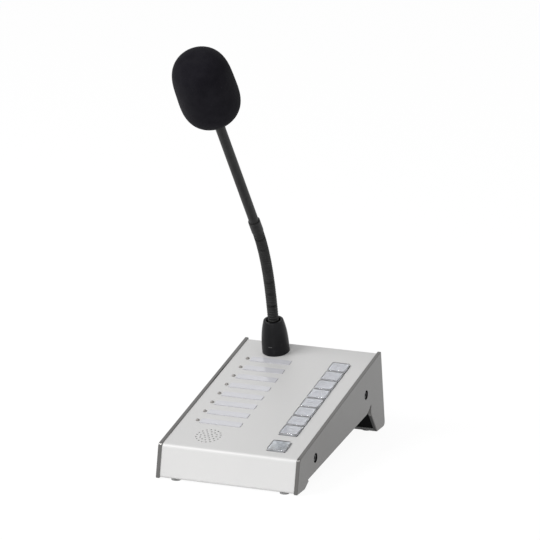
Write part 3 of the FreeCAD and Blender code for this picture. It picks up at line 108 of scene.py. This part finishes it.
HOUSING_MIDDLE = (0.0, 0.0, 0.05)
lamp("key", (-1.3, -0.9, 1.7), (0.0, 0.0, 0.1), wide=0.9, watts=25.5)
lamp("spark", (-0.78, -0.98, 1.75), HOUSING_MIDDLE, wide=0.2, watts=4.0)
lamp("front", (0.2, -2.2, 0.8), HOUSING_MIDDLE, wide=0.9, watts=15.0)
lamp("side", (1.2, -0.9, 0.8), HOUSING_MIDDLE, wide=0.5, watts=1.2)
print("lamps", len(bpy.data.lights))

# %% [markdown]
# ### Sky and floor
# A Light Path node tells what kind of ray looks. The camera, reflections and clear parts see a pure white
# sky and an almost white floor. Other rays get a dimmer sky, so the lamps still model the shapes. The floor
# keeps a little of its own shading, so the unit still casts its shadow on it.

# %% Sky and floor
SKY_LIGHT = 0.42
FLOOR_WIDE = 24.0
PAPER_SHADE = 0.9
PAPER_GLOW = 1.04
GLOW_SHARE = 0.9


def link(tree, start, end):
    tree.links.new(start, end)


def white_share(tree):
    """1 where a camera, glossy or transmission ray looks, else 0."""
    path = tree.nodes.new("ShaderNodeLightPath")
    both = tree.nodes.new("ShaderNodeMath")
    both.operation = "MAXIMUM"
    link(tree, path.outputs["Is Camera Ray"], both.inputs[0])
    link(tree, path.outputs["Is Glossy Ray"], both.inputs[1])
    every = tree.nodes.new("ShaderNodeMath")
    every.operation = "MAXIMUM"
    link(tree, both.outputs[0], every.inputs[0])
    link(tree, path.outputs["Is Transmission Ray"], every.inputs[1])
    return every.outputs[0]


sky = bpy.data.worlds.new("sky")
bpy.context.scene.world = sky
sky.use_nodes = True
tree = sky.node_tree
ground = tree.nodes["Background"]
ground.inputs["Color"].default_value = (1, 1, 1, 1)
ground.inputs["Strength"].default_value = SKY_LIGHT
bright = tree.nodes.new("ShaderNodeBackground")
bright.inputs["Color"].default_value = (1, 1, 1, 1)
choose = tree.nodes.new("ShaderNodeMixShader")
link(tree, white_share(tree), choose.inputs[0])
link(tree, ground.outputs[0], choose.inputs[1])
link(tree, bright.outputs[0], choose.inputs[2])
link(tree, choose.outputs[0], tree.nodes["World Output"].inputs[0])

bpy.ops.mesh.primitive_plane_add(size=FLOOR_WIDE)
floor = bpy.context.active_object
floor.name = "floor"
paper = bpy.data.materials.new("floor_white")
paper.use_nodes = True
tree = paper.node_tree
matt = tree.nodes["Principled BSDF"]
matt.inputs["Base Color"].default_value = (PAPER_SHADE, PAPER_SHADE, PAPER_SHADE, 1)
matt.inputs["Roughness"].default_value = 0.9
glow = tree.nodes.new("ShaderNodeEmission")
glow.inputs["Strength"].default_value = PAPER_GLOW
share = tree.nodes.new("ShaderNodeMath")
share.operation = "MULTIPLY"
share.inputs[1].default_value = GLOW_SHARE
choose = tree.nodes.new("ShaderNodeMixShader")
link(tree, white_share(tree), share.inputs[0])
link(tree, share.outputs[0], choose.inputs[0])
link(tree, matt.outputs[0], choose.inputs[1])
link(tree, glow.outputs[0], choose.inputs[2])
link(tree, choose.outputs[0], tree.nodes["Material Output"].inputs[0])
floor.data.materials.append(paper)
print("floor", FLOOR_WIDE, "m wide")

# %% [markdown]
# ## Finishes
# A real surface is never one flat colour. One helper builds each finish from the same three layers: a slow
# change of colour, a change of roughness, and a fine bump. All of them read Object coordinates in metres,
# so their scale is that of the real thing and they stay put on the part.

# %% A helper for finishes


def noise(tree, scale, detail=3.0, stretch=(1, 1, 1), lean=0.0):
    """A noise pattern, scale features per metre, optionally drawn out along an axis."""
    place = tree.nodes.new("ShaderNodeTexCoord")
    mapping = tree.nodes.new("ShaderNodeMapping")
    mapping.inputs["Scale"].default_value = stretch
    mapping.inputs["Rotation"].default_value = (lean, 0, 0)
    pattern = tree.nodes.new("ShaderNodeTexNoise")
    pattern.inputs["Scale"].default_value = scale
    pattern.inputs["Detail"].default_value = detail
    link(tree, place.outputs["Object"], mapping.inputs[0])
    link(tree, mapping.outputs[0], pattern.inputs["Vector"])
    return pattern


def spread(tree, value, low, high):
    """Maps a pattern's middle range to low and high."""
    node = tree.nodes.new("ShaderNodeMapRange")
    node.inputs["From Min"].default_value = 0.3
    node.inputs["From Max"].default_value = 0.7
    node.inputs["To Min"].default_value = low
    node.inputs["To Max"].default_value = high
    link(tree, value, node.inputs["Value"])
    return node.outputs["Result"]


def blend_colours(tree, share, first, second):
    node = tree.nodes.new("ShaderNodeMix")
    node.data_type = "RGBA"
    node.inputs["A"].default_value = (*first, 1)
    node.inputs["B"].default_value = (*second, 1)
    link(tree, share, node.inputs["Factor"])
    return node.outputs["Result"]


def finish(name, light, dark, rough, patch, grain, depth, stretch=(1, 1, 1), lean=0.0, **shine):
    """A surface between two colours and two roughnesses.

    patch and grain are the features per metre of the colour and of the bump, and depth is the bump's depth
    in metres. stretch and lean draw the grain out. Any other name is one of the shader's own inputs.
    """
    material = bpy.data.materials.new(name)
    material.use_nodes = True
    tree = material.node_tree
    shader = tree.nodes["Principled BSDF"]
    for key, value in shine.items():
        shader.inputs[key.replace("_", " ")].default_value = value
    slow = noise(tree, patch)
    fine = noise(tree, grain, 4.0, stretch, lean)
    colour = blend_colours(tree, spread(tree, slow.outputs["Fac"], 0, 1), light, dark)
    link(tree, colour, shader.inputs["Base Color"])
    link(tree, spread(tree, fine.outputs["Fac"], *rough), shader.inputs["Roughness"])
    bump = tree.nodes.new("ShaderNodeBump")
    bump.inputs["Distance"].default_value = depth
    bump.inputs["Strength"].default_value = 0.5
    link(tree, fine.outputs["Fac"], bump.inputs["Height"])
    link(tree, bump.outputs["Normal"], shader.inputs["Normal"])
    return material


def paint_shade_inside(material, side, behind, top, colour):
    """Paints shade: a flat colour over what lies within side of the middle, behind a given y and below a
    given top, in metres.
    """
    tree = material.node_tree
    shader = tree.nodes["Principled BSDF"]
    before = shader.inputs["Base Color"].links[0].from_socket
    place = tree.nodes.new("ShaderNodeTexCoord")
    split = tree.nodes.new("ShaderNodeSeparateXYZ")
    link(tree, place.outputs["Object"], split.inputs[0])
    share = None
    for axis, kind, limit in (("X", "LESS_THAN", side), ("X", "GREATER_THAN", -side),
                              ("Y", "GREATER_THAN", behind), ("Z", "LESS_THAN", top)):
        test = tree.nodes.new("ShaderNodeMath")
        test.operation = kind
        test.inputs[1].default_value = limit
        link(tree, split.outputs[axis], test.inputs[0])
        if share:
            both = tree.nodes.new("ShaderNodeMath")
            both.operation = "MULTIPLY"
            link(tree, share, both.inputs[0])
            link(tree, test.outputs[0], both.inputs[1])
            test = both
        share = test.outputs[0]
    coat = blend_colours(tree, share, colour, colour)
    link(tree, before, coat.node.inputs["A"])
    link(tree, coat, shader.inputs["Base Color"])


def dress(material, *names):
    """Gives CAD nodes a finish."""
    for name in names:
        slots = nodes[name].material_slots
        if not slots:
            nodes[name].data.materials.append(material)
        for slot in slots:
            slot.material = material


# %% [markdown]
# ### The housing
# The panel is silver painted sheet: tiny metal flakes under a satin lacquer. The side plates are ground and
# anodised, so their grain runs along the slope, and their bevelled edges catch the light. Low down at the
# rear their inner sides get a painted shade, near black, for the notch's shadow: only the outer faces stay
# grey there.

# %% Housing finishes
SLOPE = math.radians(12.14)
NOTCH_SHADE_SIDE = 63.4 * mm
NOTCH_SHADE_TOP = 31.0 * mm

silver = finish("panel_silver", (0.60, 0.597, 0.593), (0.585, 0.583, 0.58), (0.46, 0.54), 14, 9000,
                0.000006, Metallic=0.15)
cheek = finish("cheek_grey", (0.150, 0.148, 0.145), (0.132, 0.128, 0.124), (0.16, 0.24), 22, 1800, 0.000008,
               (14, 0.35, 14), -SLOPE, Metallic=0.6)
# Painted shade: the plates' inner faces low in the notch get a near black colour for the shadow there.
paint_shade_inside(cheek, NOTCH_SHADE_SIDE, joints["neck_nod_1"]["pos_m"][1], NOTCH_SHADE_TOP, (0.012, 0.012, 0.013))
black_case = finish("case_black", (0.006, 0.006, 0.0065), (0.004, 0.004, 0.0045), (0.65, 0.8), 40, 3000,
                    0.00003, Specular_IOR_Level=0.03)
dark_steel = finish("steel_dark", (0.05, 0.05, 0.052), (0.03, 0.03, 0.032), (0.3, 0.45), 200, 4000, 0.00001,
                    Metallic=0.9)
steel = finish("steel", (0.55, 0.55, 0.56), (0.42, 0.42, 0.43), (0.25, 0.4), 150, 4000, 0.00001,
               Metallic=1.0)
rubber = finish("rubber", (0.24, 0.24, 0.24), (0.2, 0.2, 0.2), (0.7, 0.85), 120, 2600, 0.00004)
strip_grey = finish("strip_grey", (0.2, 0.2, 0.2), (0.17, 0.17, 0.17), (0.5, 0.65), 120, 2600, 0.00002)
dress(silver, "top_panel")
dress(cheek, "side_cheek_left", "side_cheek_right")
dress(black_case, "base_tray", "rear_panel", "screw_cups")
dress(strip_grey, "tray_strip")
dress(dark_steel, "cheek_screws", "rear_screws", "tray_screws")
dress(steel, "rear_brackets", "press_nuts", "board_screws", "neck_nut", "neck_washer", "speaker_frame")
dress(rubber, "rubber_feet")
print("materials so far", len(bpy.data.materials))

# %% [markdown]
# ### Clear parts, cards and lamps
# The caps are clear acrylic: a Principled shader that lets most of the light through. What shows is the
# card below, so the card's colour decides how they look. The label plate is milky and lets little through,
# so its own colour counts, and a clear coat gives it its gloss.

# %% Clear and printed finishes
ZONES = range(1, 9)
clear = finish("key_clear", (0.95, 0.96, 0.98), (0.92, 0.93, 0.96), (0.02, 0.06), 260, 6000, 0.000004,
               Transmission_Weight=0.88, IOR=1.49)
window_milk = finish("label_clear", (0.635, 0.635, 0.675), (0.60, 0.605, 0.64), (0.06, 0.14), 90, 5000,
                     0.000004, Transmission_Weight=0.1, IOR=1.49, Coat_Weight=0.5)
card = finish("label_paper", (0.74, 0.74, 0.79), (0.70, 0.70, 0.76), (0.6, 0.75), 60, 7000, 0.00001)
insert_card = finish("insert_card", (0.58, 0.585, 0.615), (0.52, 0.53, 0.56), (0.4, 0.55), 260, 6000,
                     0.00001)
talk_card = finish("talk_card", (0.66, 0.70, 0.73), (0.22, 0.24, 0.24), (0.4, 0.55), 170, 6000, 0.00001)
lamp_glass = finish("lamp", (0.30, 0.285, 0.27), (0.24, 0.23, 0.22), (0.12, 0.2), 400, 5000, 0.000004,
                    Transmission_Weight=0.1, IOR=1.5)
guide_black = finish("guide_black", (0.03, 0.03, 0.032), (0.022, 0.022, 0.024), (0.4, 0.55), 90, 3500,
                     0.00002)
dress(clear, *[f"zone_button_{number}" for number in ZONES], "talk_button")
dress(card, "label_card")
dress(lamp_glass, "zone_lamps")
dress(guide_black, "button_guide", "label_backing", "switch_bodies")
dress(window_milk, "label_lens")
print("materials so far", len(bpy.data.materials))

# %% [markdown]
# ### Inside the housing
# Little of this shows through the grille and the sockets, but each piece has the finish of a real unit:
# green boards, black chips, brass spacers, and a dark cloth over the paper cone.

# %% Inner finishes
cloth = finish("cloth", (0.03, 0.03, 0.03), (0.015, 0.015, 0.015), (0.8, 0.95), 300, 5200, 0.0001,
               Sheen_Weight=0.3)
cone = finish("cone_paper", (0.07, 0.065, 0.06), (0.05, 0.047, 0.044), (0.7, 0.85), 240, 3000, 0.00003)
board = finish("board_green", (0.012, 0.085, 0.035), (0.008, 0.06, 0.025), (0.3, 0.45), 500, 1200, 0.00002)
chip = finish("chip_black", (0.02, 0.02, 0.02), (0.014, 0.014, 0.014), (0.5, 0.65), 300, 4000, 0.00001)
brass = finish("brass", (0.72, 0.55, 0.26), (0.62, 0.45, 0.2), (0.25, 0.4), 200, 3000, 0.00001,
               Metallic=1.0)
socket = finish("socket", (0.03, 0.03, 0.032), (0.02, 0.02, 0.022), (0.4, 0.55), 150, 3000, 0.00002)
dress(cloth, "speaker_cloth")
dress(cone, "speaker_cone")
dress(dark_steel, "speaker_magnet")
dress(board, "main_board", "interface_board")
dress(chip, "logic_chips")
dress(steel, "board_capacitors")
dress(brass, "board_spacers", "socket_board_spacers")
dress(socket, "link_sockets")
print("materials so far", len(bpy.data.materials))

# %% [markdown]
# ### The microphone's finishes
# The neck and stem are black coated metal and the boot is satin rubber. Both are dark enough that their
# gloss shows more than their colour, so it is kept low.

# %% Microphone finishes
neck_black = finish("neck_black", (0.018, 0.018, 0.018), (0.013, 0.013, 0.013), (0.4, 0.52), 160, 4200,
                    0.00001, Specular_IOR_Level=0.2)
boot_black = finish("boot_black", (0.007, 0.007, 0.008), (0.0045, 0.0045, 0.0055), (0.36, 0.45), 90, 5200,
                    0.00001, Specular_IOR_Level=0.17)
capsule_metal = finish("capsule_metal", (0.6, 0.6, 0.61), (0.5, 0.5, 0.51), (0.3, 0.45), 300, 4000, 0.00001,
                       Metallic=1.0)
dress(neck_black, "neck_base", "neck_ferrule", "neck_stem", "capsule_holder")
dress(boot_black, "gooseneck_boot")
dress(capsule_metal, "microphone_capsule")
print("materials so far", len(bpy.data.materials))

# %% [markdown]
# ## Places on the sloping deck
# The key joints say where the caps stand and which way is out of the deck. What this script puts on the
# deck is made flat, with its y up the slope and its z out of the deck, and then turned and put in its place.

# %% Deck frame
key_places = [Vector(joints[f"zone_press_{number}"]["pos_m"]) for number in ZONES]
out = -Vector(joints["zone_press_1"]["axis"]).normalized()
up = (key_places[0] - key_places[-1]).normalized()
row_pitch = (key_places[0] - key_places[-1]).length / (len(key_places) - 1)


def deck_turn(centre):
    """Places a mesh made flat at the world's origin on the deck at centre."""
    turn = Matrix((Vector((1, 0, 0)), up, out)).transposed().to_4x4()
    return Matrix.Translation(centre) @ turn


print("row pitch", round(row_pitch / mm, 2), "mm")

# %% [markdown]
# ## Cap inserts
# Each clear cap holds a small printed card under its roof. A card is a rounded slab, cut a little smaller
# than the hollow it sits in. Its outline is drawn four times with bmesh, and the last two rings shrink,
# which rounds the top edge.

# %% Rounded slabs


def new_piece(name, mesh_maker, material, body):
    """Builds a mesh with bmesh, gives it a finish and lets it ride on a body."""
    mesh = bpy.data.meshes.new(name)
    shape = bmesh.new()
    mesh_maker(shape)
    bmesh.ops.recalc_face_normals(shape, faces=shape.faces)
    shape.to_mesh(mesh)
    shape.free()
    mesh.materials.append(material)
    piece = bpy.data.objects.new(name, mesh)
    bpy.context.scene.collection.objects.link(piece)
    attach(piece, body)
    return piece


ARC_POINTS = 5
SMALLEST_ARC = 0.05 * mm
SOFT_SHARE = 0.3


def slab(shape, place, wide, deep, low, high, corner, edge):
    """A slab with rounded corners and a bevelled top edge."""
    def outline(shrink, level):
        radius = max(corner - shrink, SMALLEST_ARC)
        ring = []
        for sx, sy, start in ((1, 1, 0), (-1, 1, 90), (-1, -1, 180), (1, -1, 270)):
            for step in range(ARC_POINTS):
                angle = math.radians(start + step * 90 / (ARC_POINTS - 1))
                x = sx * (wide / 2 - shrink - radius) + radius * math.cos(angle)
                y = sy * (deep / 2 - shrink - radius) + radius * math.sin(angle)
                ring.append(shape.verts.new(place @ Vector((x, y, level))))
        return ring

    soft = edge * SOFT_SHARE
    rings = [outline(0, low), outline(0, high - edge), outline(soft, high - soft), outline(edge, high)]
    around = len(rings[0])
    for first, second in zip(rings, rings[1:]):
        for i in range(around):
            j = (i + 1) % around
            shape.faces.new((first[i], first[j], second[j], second[i]))
    shape.faces.new(rings[0])
    shape.faces.new(rings[-1])


# %% [markdown]
# ### One card in each cap
# A card rides on the same body as its cap, so it goes down with it. All cards are equally wide, and the
# talk cap's card is a little deeper and has a stronger pattern.

# %% Cards
CARD_WIDE = 14.5 * mm
ZONE_CARD_DEEP = 13.6 * mm
TALK_CARD_DEEP = 14.3 * mm
CARD_LOW = -0.2 * mm
CARD_HIGH = 0.38 * mm
CARD_CORNER = 1.2 * mm
CARD_EDGE = 0.1 * mm


def cap_card(name, centre, deep, material, body):
    """A card of the given depth that rides in the cap whose joint is at centre."""
    place = deck_turn(centre)
    card_size = (CARD_WIDE, deep, CARD_LOW, CARD_HIGH, CARD_CORNER, CARD_EDGE)
    return new_piece(name, lambda shape: slab(shape, place, *card_size), material, body)


cards = [cap_card(f"key_insert_{number}", centre, ZONE_CARD_DEEP, insert_card, f"zone_key_{number}")
         for number, centre in zip(ZONES, key_places)]
talk_place = Vector(joints["talk_press"]["pos_m"])
cards.append(cap_card("talk_insert", talk_place, TALK_CARD_DEEP, talk_card, "talk_key"))
print("cards", len(cards))

# %% [markdown]
# ## A painted highlight on the boot
# A small raised bar at the boot's front, low down, is coloured grey as a painted highlight, where a small
# slot in the boot catches the light. It is a slab too, stood on its edge and sunk a little into the boot's
# wall.

# %% Painted highlight on the boot
NECK_RISE = 28.2 * mm
MARK_RISE = 9.0 * mm
MARK_OUT = 12.0 * mm
MARK_WIDE, MARK_TALL = 3.4 * mm, 0.45 * mm
MARK_SUNK, MARK_PROUD = -0.4 * mm, 0.12 * mm
MARK_CORNER, MARK_EDGE = 0.2 * mm, 0.06 * mm

neck_foot = Vector(joints["neck_nod_1"]["pos_m"]) - out * NECK_RISE
mark_place = deck_turn(neck_foot + out * MARK_RISE) @ Matrix.Translation((0, -MARK_OUT, 0))
mark_place = mark_place @ Matrix.Rotation(math.pi / 2, 4, "X")
mark_size = (MARK_WIDE, MARK_TALL, MARK_SUNK, MARK_PROUD, MARK_CORNER, MARK_EDGE)
# Painted highlight: the bar is grey, far lighter than the boot, for the light a small slot catches.
highlight_grey = finish("highlight_grey", (0.1, 0.1, 0.1), (0.08, 0.08, 0.08), (0.35, 0.45), 300, 5200, 0.00001)
new_piece("boot_highlight_bar", lambda shape: slab(shape, mark_place, *mark_size), highlight_grey, "housing")
print("mark at", [round(v, 4) for v in mark_place.translation])

# %% [markdown]
# ## The flexible neck
# A gooseneck is two wires wound together, so it shows close round ridges. A Geometry Nodes tree sets one
# ridge every pitch along a path, on a plain core. A ridge is a ring here and not a turn of a helix, which
# looks the same at this size and leaves each piece with whole rings at its ends.

# %% A tree that sets ridges along a path
PITCH = 2.025 * mm
RING_SIDES = 40
WIRE_SIDES = 10


def neck_tree():
    tree = bpy.data.node_groups.new("ridged_tube", "GeometryNodeTree")
    sockets = tree.interface
    sockets.new_socket("Geometry", in_out="INPUT", socket_type="NodeSocketGeometry")
    sockets.new_socket("Geometry", in_out="OUTPUT", socket_type="NodeSocketGeometry")
    defaults = (("Core Radius", 4.4 * mm), ("Ridge Radius", 0.9 * mm), ("Ridge Ring", 4.0 * mm),
                ("Pitch", PITCH))
    for name, value in defaults:
        sockets.new_socket(name, in_out="INPUT", socket_type="NodeSocketFloat").default_value = value
    sockets.new_socket("Finish", in_out="INPUT", socket_type="NodeSocketMaterial")
    add = tree.nodes.new
    source, target = add("NodeGroupInput"), add("NodeGroupOutput")

    ring = add("GeometryNodeCurvePrimitiveCircle")
    ring.inputs["Resolution"].default_value = RING_SIDES
    tube = add("GeometryNodeCurveToMesh")
    tube.inputs["Fill Caps"].default_value = True
    link(tree, source.outputs["Core Radius"], ring.inputs["Radius"])
    link(tree, source.outputs["Geometry"], tube.inputs["Curve"])
    link(tree, ring.outputs["Curve"], tube.inputs["Profile Curve"])

    loop = add("GeometryNodeCurvePrimitiveCircle")
    loop.inputs["Resolution"].default_value = RING_SIDES
    wire = add("GeometryNodeCurvePrimitiveCircle")
    wire.inputs["Resolution"].default_value = WIRE_SIDES
    ridge = add("GeometryNodeCurveToMesh")
    link(tree, source.outputs["Ridge Ring"], loop.inputs["Radius"])
    link(tree, source.outputs["Ridge Radius"], wire.inputs["Radius"])
    link(tree, loop.outputs["Curve"], ridge.inputs["Curve"])
    link(tree, wire.outputs["Curve"], ridge.inputs["Profile Curve"])

    points = add("GeometryNodeCurveToPoints")
    points.mode = "LENGTH"
    link(tree, source.outputs["Geometry"], points.inputs["Curve"])
    link(tree, source.outputs["Pitch"], points.inputs["Length"])
    place = add("GeometryNodeInstanceOnPoints")
    link(tree, points.outputs["Points"], place.inputs["Points"])
    link(tree, points.outputs["Rotation"], place.inputs["Rotation"])
    link(tree, ridge.outputs["Mesh"], place.inputs["Instance"])

    join, real, coat, smooth = (add("GeometryNodeJoinGeometry"), add("GeometryNodeRealizeInstances"),
                                add("GeometryNodeSetMaterial"), add("GeometryNodeSetShadeSmooth"))
    link(tree, tube.outputs["Mesh"], join.inputs[0])
    link(tree, place.outputs["Instances"], join.inputs[0])
    link(tree, join.outputs[0], smooth.inputs["Geometry"])
    link(tree, smooth.outputs[0], real.inputs[0])
    link(tree, real.outputs[0], coat.inputs["Geometry"])
    link(tree, source.outputs["Finish"], coat.inputs["Material"])
    link(tree, coat.outputs[0], target.inputs[0])
    return tree


def grown(name, source, tree, values, body, place=Matrix()):
    """Runs a tree on an object and keeps the result as a plain mesh, put at place.
    """
    modifier = source.modifiers.new("grow", "NODES")
    modifier.node_group = tree
    for item in tree.interface.items_tree:
        if item.item_type == "SOCKET" and item.in_out == "INPUT" and item.name in values:
            modifier[item.identifier] = values[item.name]
    bpy.context.view_layer.update()
    made = source.evaluated_get(bpy.context.evaluated_depsgraph_get())
    mesh = bpy.data.meshes.new_from_object(made)
    mesh.name = name
    mesh.transform(place)
    bpy.data.objects.remove(source)
    piece = bpy.data.objects.new(name, mesh)
    bpy.context.scene.collection.objects.link(piece)
    if body:
        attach(piece, body)
    return piece


def path_object(name, points):
    """A poly curve through points."""
    curve = bpy.data.curves.new(name, "CURVE")
    curve.dimensions = "3D"
    spline = curve.splines.new("POLY")
    spline.points.add(len(points) - 1)
    for point, place in zip(spline.points, points):
        point.co = (*place, 1)
    holder = bpy.data.objects.new(name, curve)
    bpy.context.scene.collection.objects.link(holder)
    return holder


# %% [markdown]
# ### One skin over each joint
# Each piece covers one joint of the neck, from about the middle of one segment to that of the next, and
# bends across that joint as the neck stands at rest; the pieces ride on no body. Its path has more points
# near the hinge, and the lengths along it are counted in pitches. The last piece ends inside the ferrule.

# %% The neck's pieces
NECK_ANGLE = math.radians(37.27)
STEPS_BELOW = (-3.5, -2.5, -1.5, -0.8, -0.3)
STEPS_ABOVE = (0.3, 0.8, 1.5, 2.0, 2.5)
STEPS_IN_FERRULE = (0.3,)
BEND_REACH = 2.4 * PITCH
hinge_names = [f"neck_{kind}_{i}" for i in range(1, 6) for kind in ("nod", "sway")][:9]
hinges = [Vector(joints[name]["pos_m"]) for name in hinge_names]
stem_way = Vector((0, -math.sin(NECK_ANGLE), math.cos(NECK_ANGLE)))
ways = [out] + [(b - a).normalized() for a, b in zip(hinges, hinges[1:])] + [stem_way]
ridged = neck_tree()

values = {"Pitch": PITCH, "Finish": neck_black}
for i, hinge in enumerate(hinges):
    below, above = ways[i], ways[i + 1]
    steps_above = STEPS_IN_FERRULE if hinge is hinges[-1] else STEPS_ABOVE
    route = [hinge + below * (step * PITCH) for step in STEPS_BELOW]
    route += [hinge + above * (step * PITCH) for step in steps_above]
    path = path_object(f"neck_path_{i}", route)
    piece = grown(f"neck_skin_{i}", path, ridged, values, None)
    start, end = hinge - below * BEND_REACH, hinge + above * BEND_REACH
    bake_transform(piece)
    if i:
        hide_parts(f"flex_{i}")
print("neck pieces", len(hinges))

# %% [markdown]
# ## Contacts in the link sockets
# A modular socket has eight gold wires side by side on one wall. A Geometry Nodes tree lays a row of bars,
# so one number sets how many there are and another how far apart they stand.

# %% A tree that lays a row of bars


def row_tree():
    tree = bpy.data.node_groups.new("bar_row", "GeometryNodeTree")
    sockets = tree.interface
    sockets.new_socket("Geometry", in_out="OUTPUT", socket_type="NodeSocketGeometry")
    kinds = {"Geometry": "Geometry", "Count": "Int", "Pitch": "Float", "Finish": "Material"}
    for name, kind in kinds.items():
        sockets.new_socket(name, in_out="INPUT", socket_type="NodeSocket" + kind)
    bar_size = sockets.new_socket("Bar", in_out="INPUT", socket_type="NodeSocketVector")
    bar_size.default_value = (0.45 * mm, 9.0 * mm, 0.5 * mm)
    add = tree.nodes.new
    source, target = add("NodeGroupInput"), add("NodeGroupOutput")
    step, row, bar = add("ShaderNodeCombineXYZ"), add("GeometryNodeMeshLine"), add("GeometryNodeMeshCube")
    place, real, coat = (add("GeometryNodeInstanceOnPoints"), add("GeometryNodeRealizeInstances"),
                         add("GeometryNodeSetMaterial"))
    link(tree, source.outputs["Pitch"], step.inputs["X"])
    link(tree, step.outputs[0], row.inputs["Offset"])
    link(tree, source.outputs["Count"], row.inputs["Count"])
    link(tree, source.outputs["Bar"], bar.inputs["Size"])
    link(tree, row.outputs["Mesh"], place.inputs["Points"])
    link(tree, bar.outputs["Mesh"], place.inputs["Instance"])
    link(tree, place.outputs["Instances"], real.inputs["Geometry"])
    link(tree, real.outputs[0], coat.inputs["Geometry"])
    link(tree, source.outputs["Finish"], coat.inputs["Material"])
    link(tree, coat.outputs[0], target.inputs[0])
    return tree


# %% [markdown]
# ### A row in each socket
# The sockets lean with the rear panel, so a row is laid flat, turned by that lean and put at its socket's
# floor. An empty mesh is enough to hang the tree on, because the tree makes all of its own geometry.

# %% Contacts
REAR_LEAN = math.radians(9.2)
PORT_SIDE = 11.0 * mm
PORT_MIDDLE = Vector((0, 97.35 * mm, 23.55 * mm))
PORT_FLOOR = -3.55 * mm
CONTACTS, CONTACT_PITCH = 8, 1.02 * mm
bars = row_tree()
for side, name in ((-1, "left"), (1, "right")):
    first = Matrix.Translation((-CONTACT_PITCH * (CONTACTS - 1) / 2, 0, PORT_FLOOR))
    port = Matrix.Translation(PORT_MIDDLE + Vector((side * PORT_SIDE, 0, 0)))
    port = port @ Matrix.Rotation(REAR_LEAN, 4, "X") @ first
    start = bpy.data.objects.new("row_start", bpy.data.meshes.new("row_start"))
    bpy.context.scene.collection.objects.link(start)
    values = {"Count": CONTACTS, "Pitch": CONTACT_PITCH, "Finish": brass}
    grown(f"socket_contacts_{name}", start, bars, values, "housing", port)
print("contacts", 2 * CONTACTS)

# %% [markdown]
# ## The foam windscreen
# The foam is open-cell and drinks light. It is a rounded barrel, a little slimmer at its tip. Its side view
# is a superellipse, between an oval and a box. It is turned like clay on a wheel: rings of points about the
# stem, closed by a pole at each end. The finish gives it the fine grain of foam.

# %% Turn the foam
FOAM_RADIUS = 25.26 * mm
FOAM_LONG = 71.4 * mm
FOAM_MIDDLE = 186.5 * mm
FOAM_TAPER = 0.035
FOAM_END_POWER, FOAM_SIDE_POWER = 3.67, 2.95
FOAM_ROWS, FOAM_SIDES = 64, 96
foam = finish("foam", (0.0105, 0.010, 0.013), (0.0065, 0.006, 0.0085), (0.9, 1.0), 120, 1400, 0.00035,
              Sheen_Weight=0.03, Specular_IOR_Level=0.05)


def turn_foam(shape):
    """Rings of points about the stem, from the foam's foot to its tip."""
    side = Vector((1, 0, 0))
    front = stem_way.cross(side)
    rings = []
    rows, sides = FOAM_ROWS, FOAM_SIDES
    for row in range(1, rows):
        angle = math.pi * (row / rows - 0.5)
        share = math.copysign(abs(math.sin(angle)) ** (2 / FOAM_END_POWER), angle)
        radius = FOAM_RADIUS * (1 - FOAM_TAPER * share) * abs(math.cos(angle)) ** (2 / FOAM_SIDE_POWER)
        middle = hinges[-1] + stem_way * (FOAM_MIDDLE + share * FOAM_LONG / 2)
        ring = []
        for step in range(sides):
            around = 2 * math.pi * step / sides
            way = side * math.cos(around) + front * math.sin(around)
            ring.append(shape.verts.new(middle + way * radius))
        rings.append(ring)
    for first, second in zip(rings, rings[1:]):
        for i in range(sides):
            j = (i + 1) % sides
            shape.faces.new((first[i], first[j], second[j], second[i])).smooth = True
    for ring, share in ((rings[0], -1), (rings[-1], 1)):
        pole = shape.verts.new(hinges[-1] + stem_way * (FOAM_MIDDLE + share * FOAM_LONG / 2))
        for i in range(sides):
            shape.faces.new((ring[i], ring[(i + 1) % sides], pole)).smooth = True


windscreen = new_piece("foam_windscreen", turn_foam, foam, "microphone")
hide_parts("windscreen")
print("foam faces", len(windscreen.data.polygons))
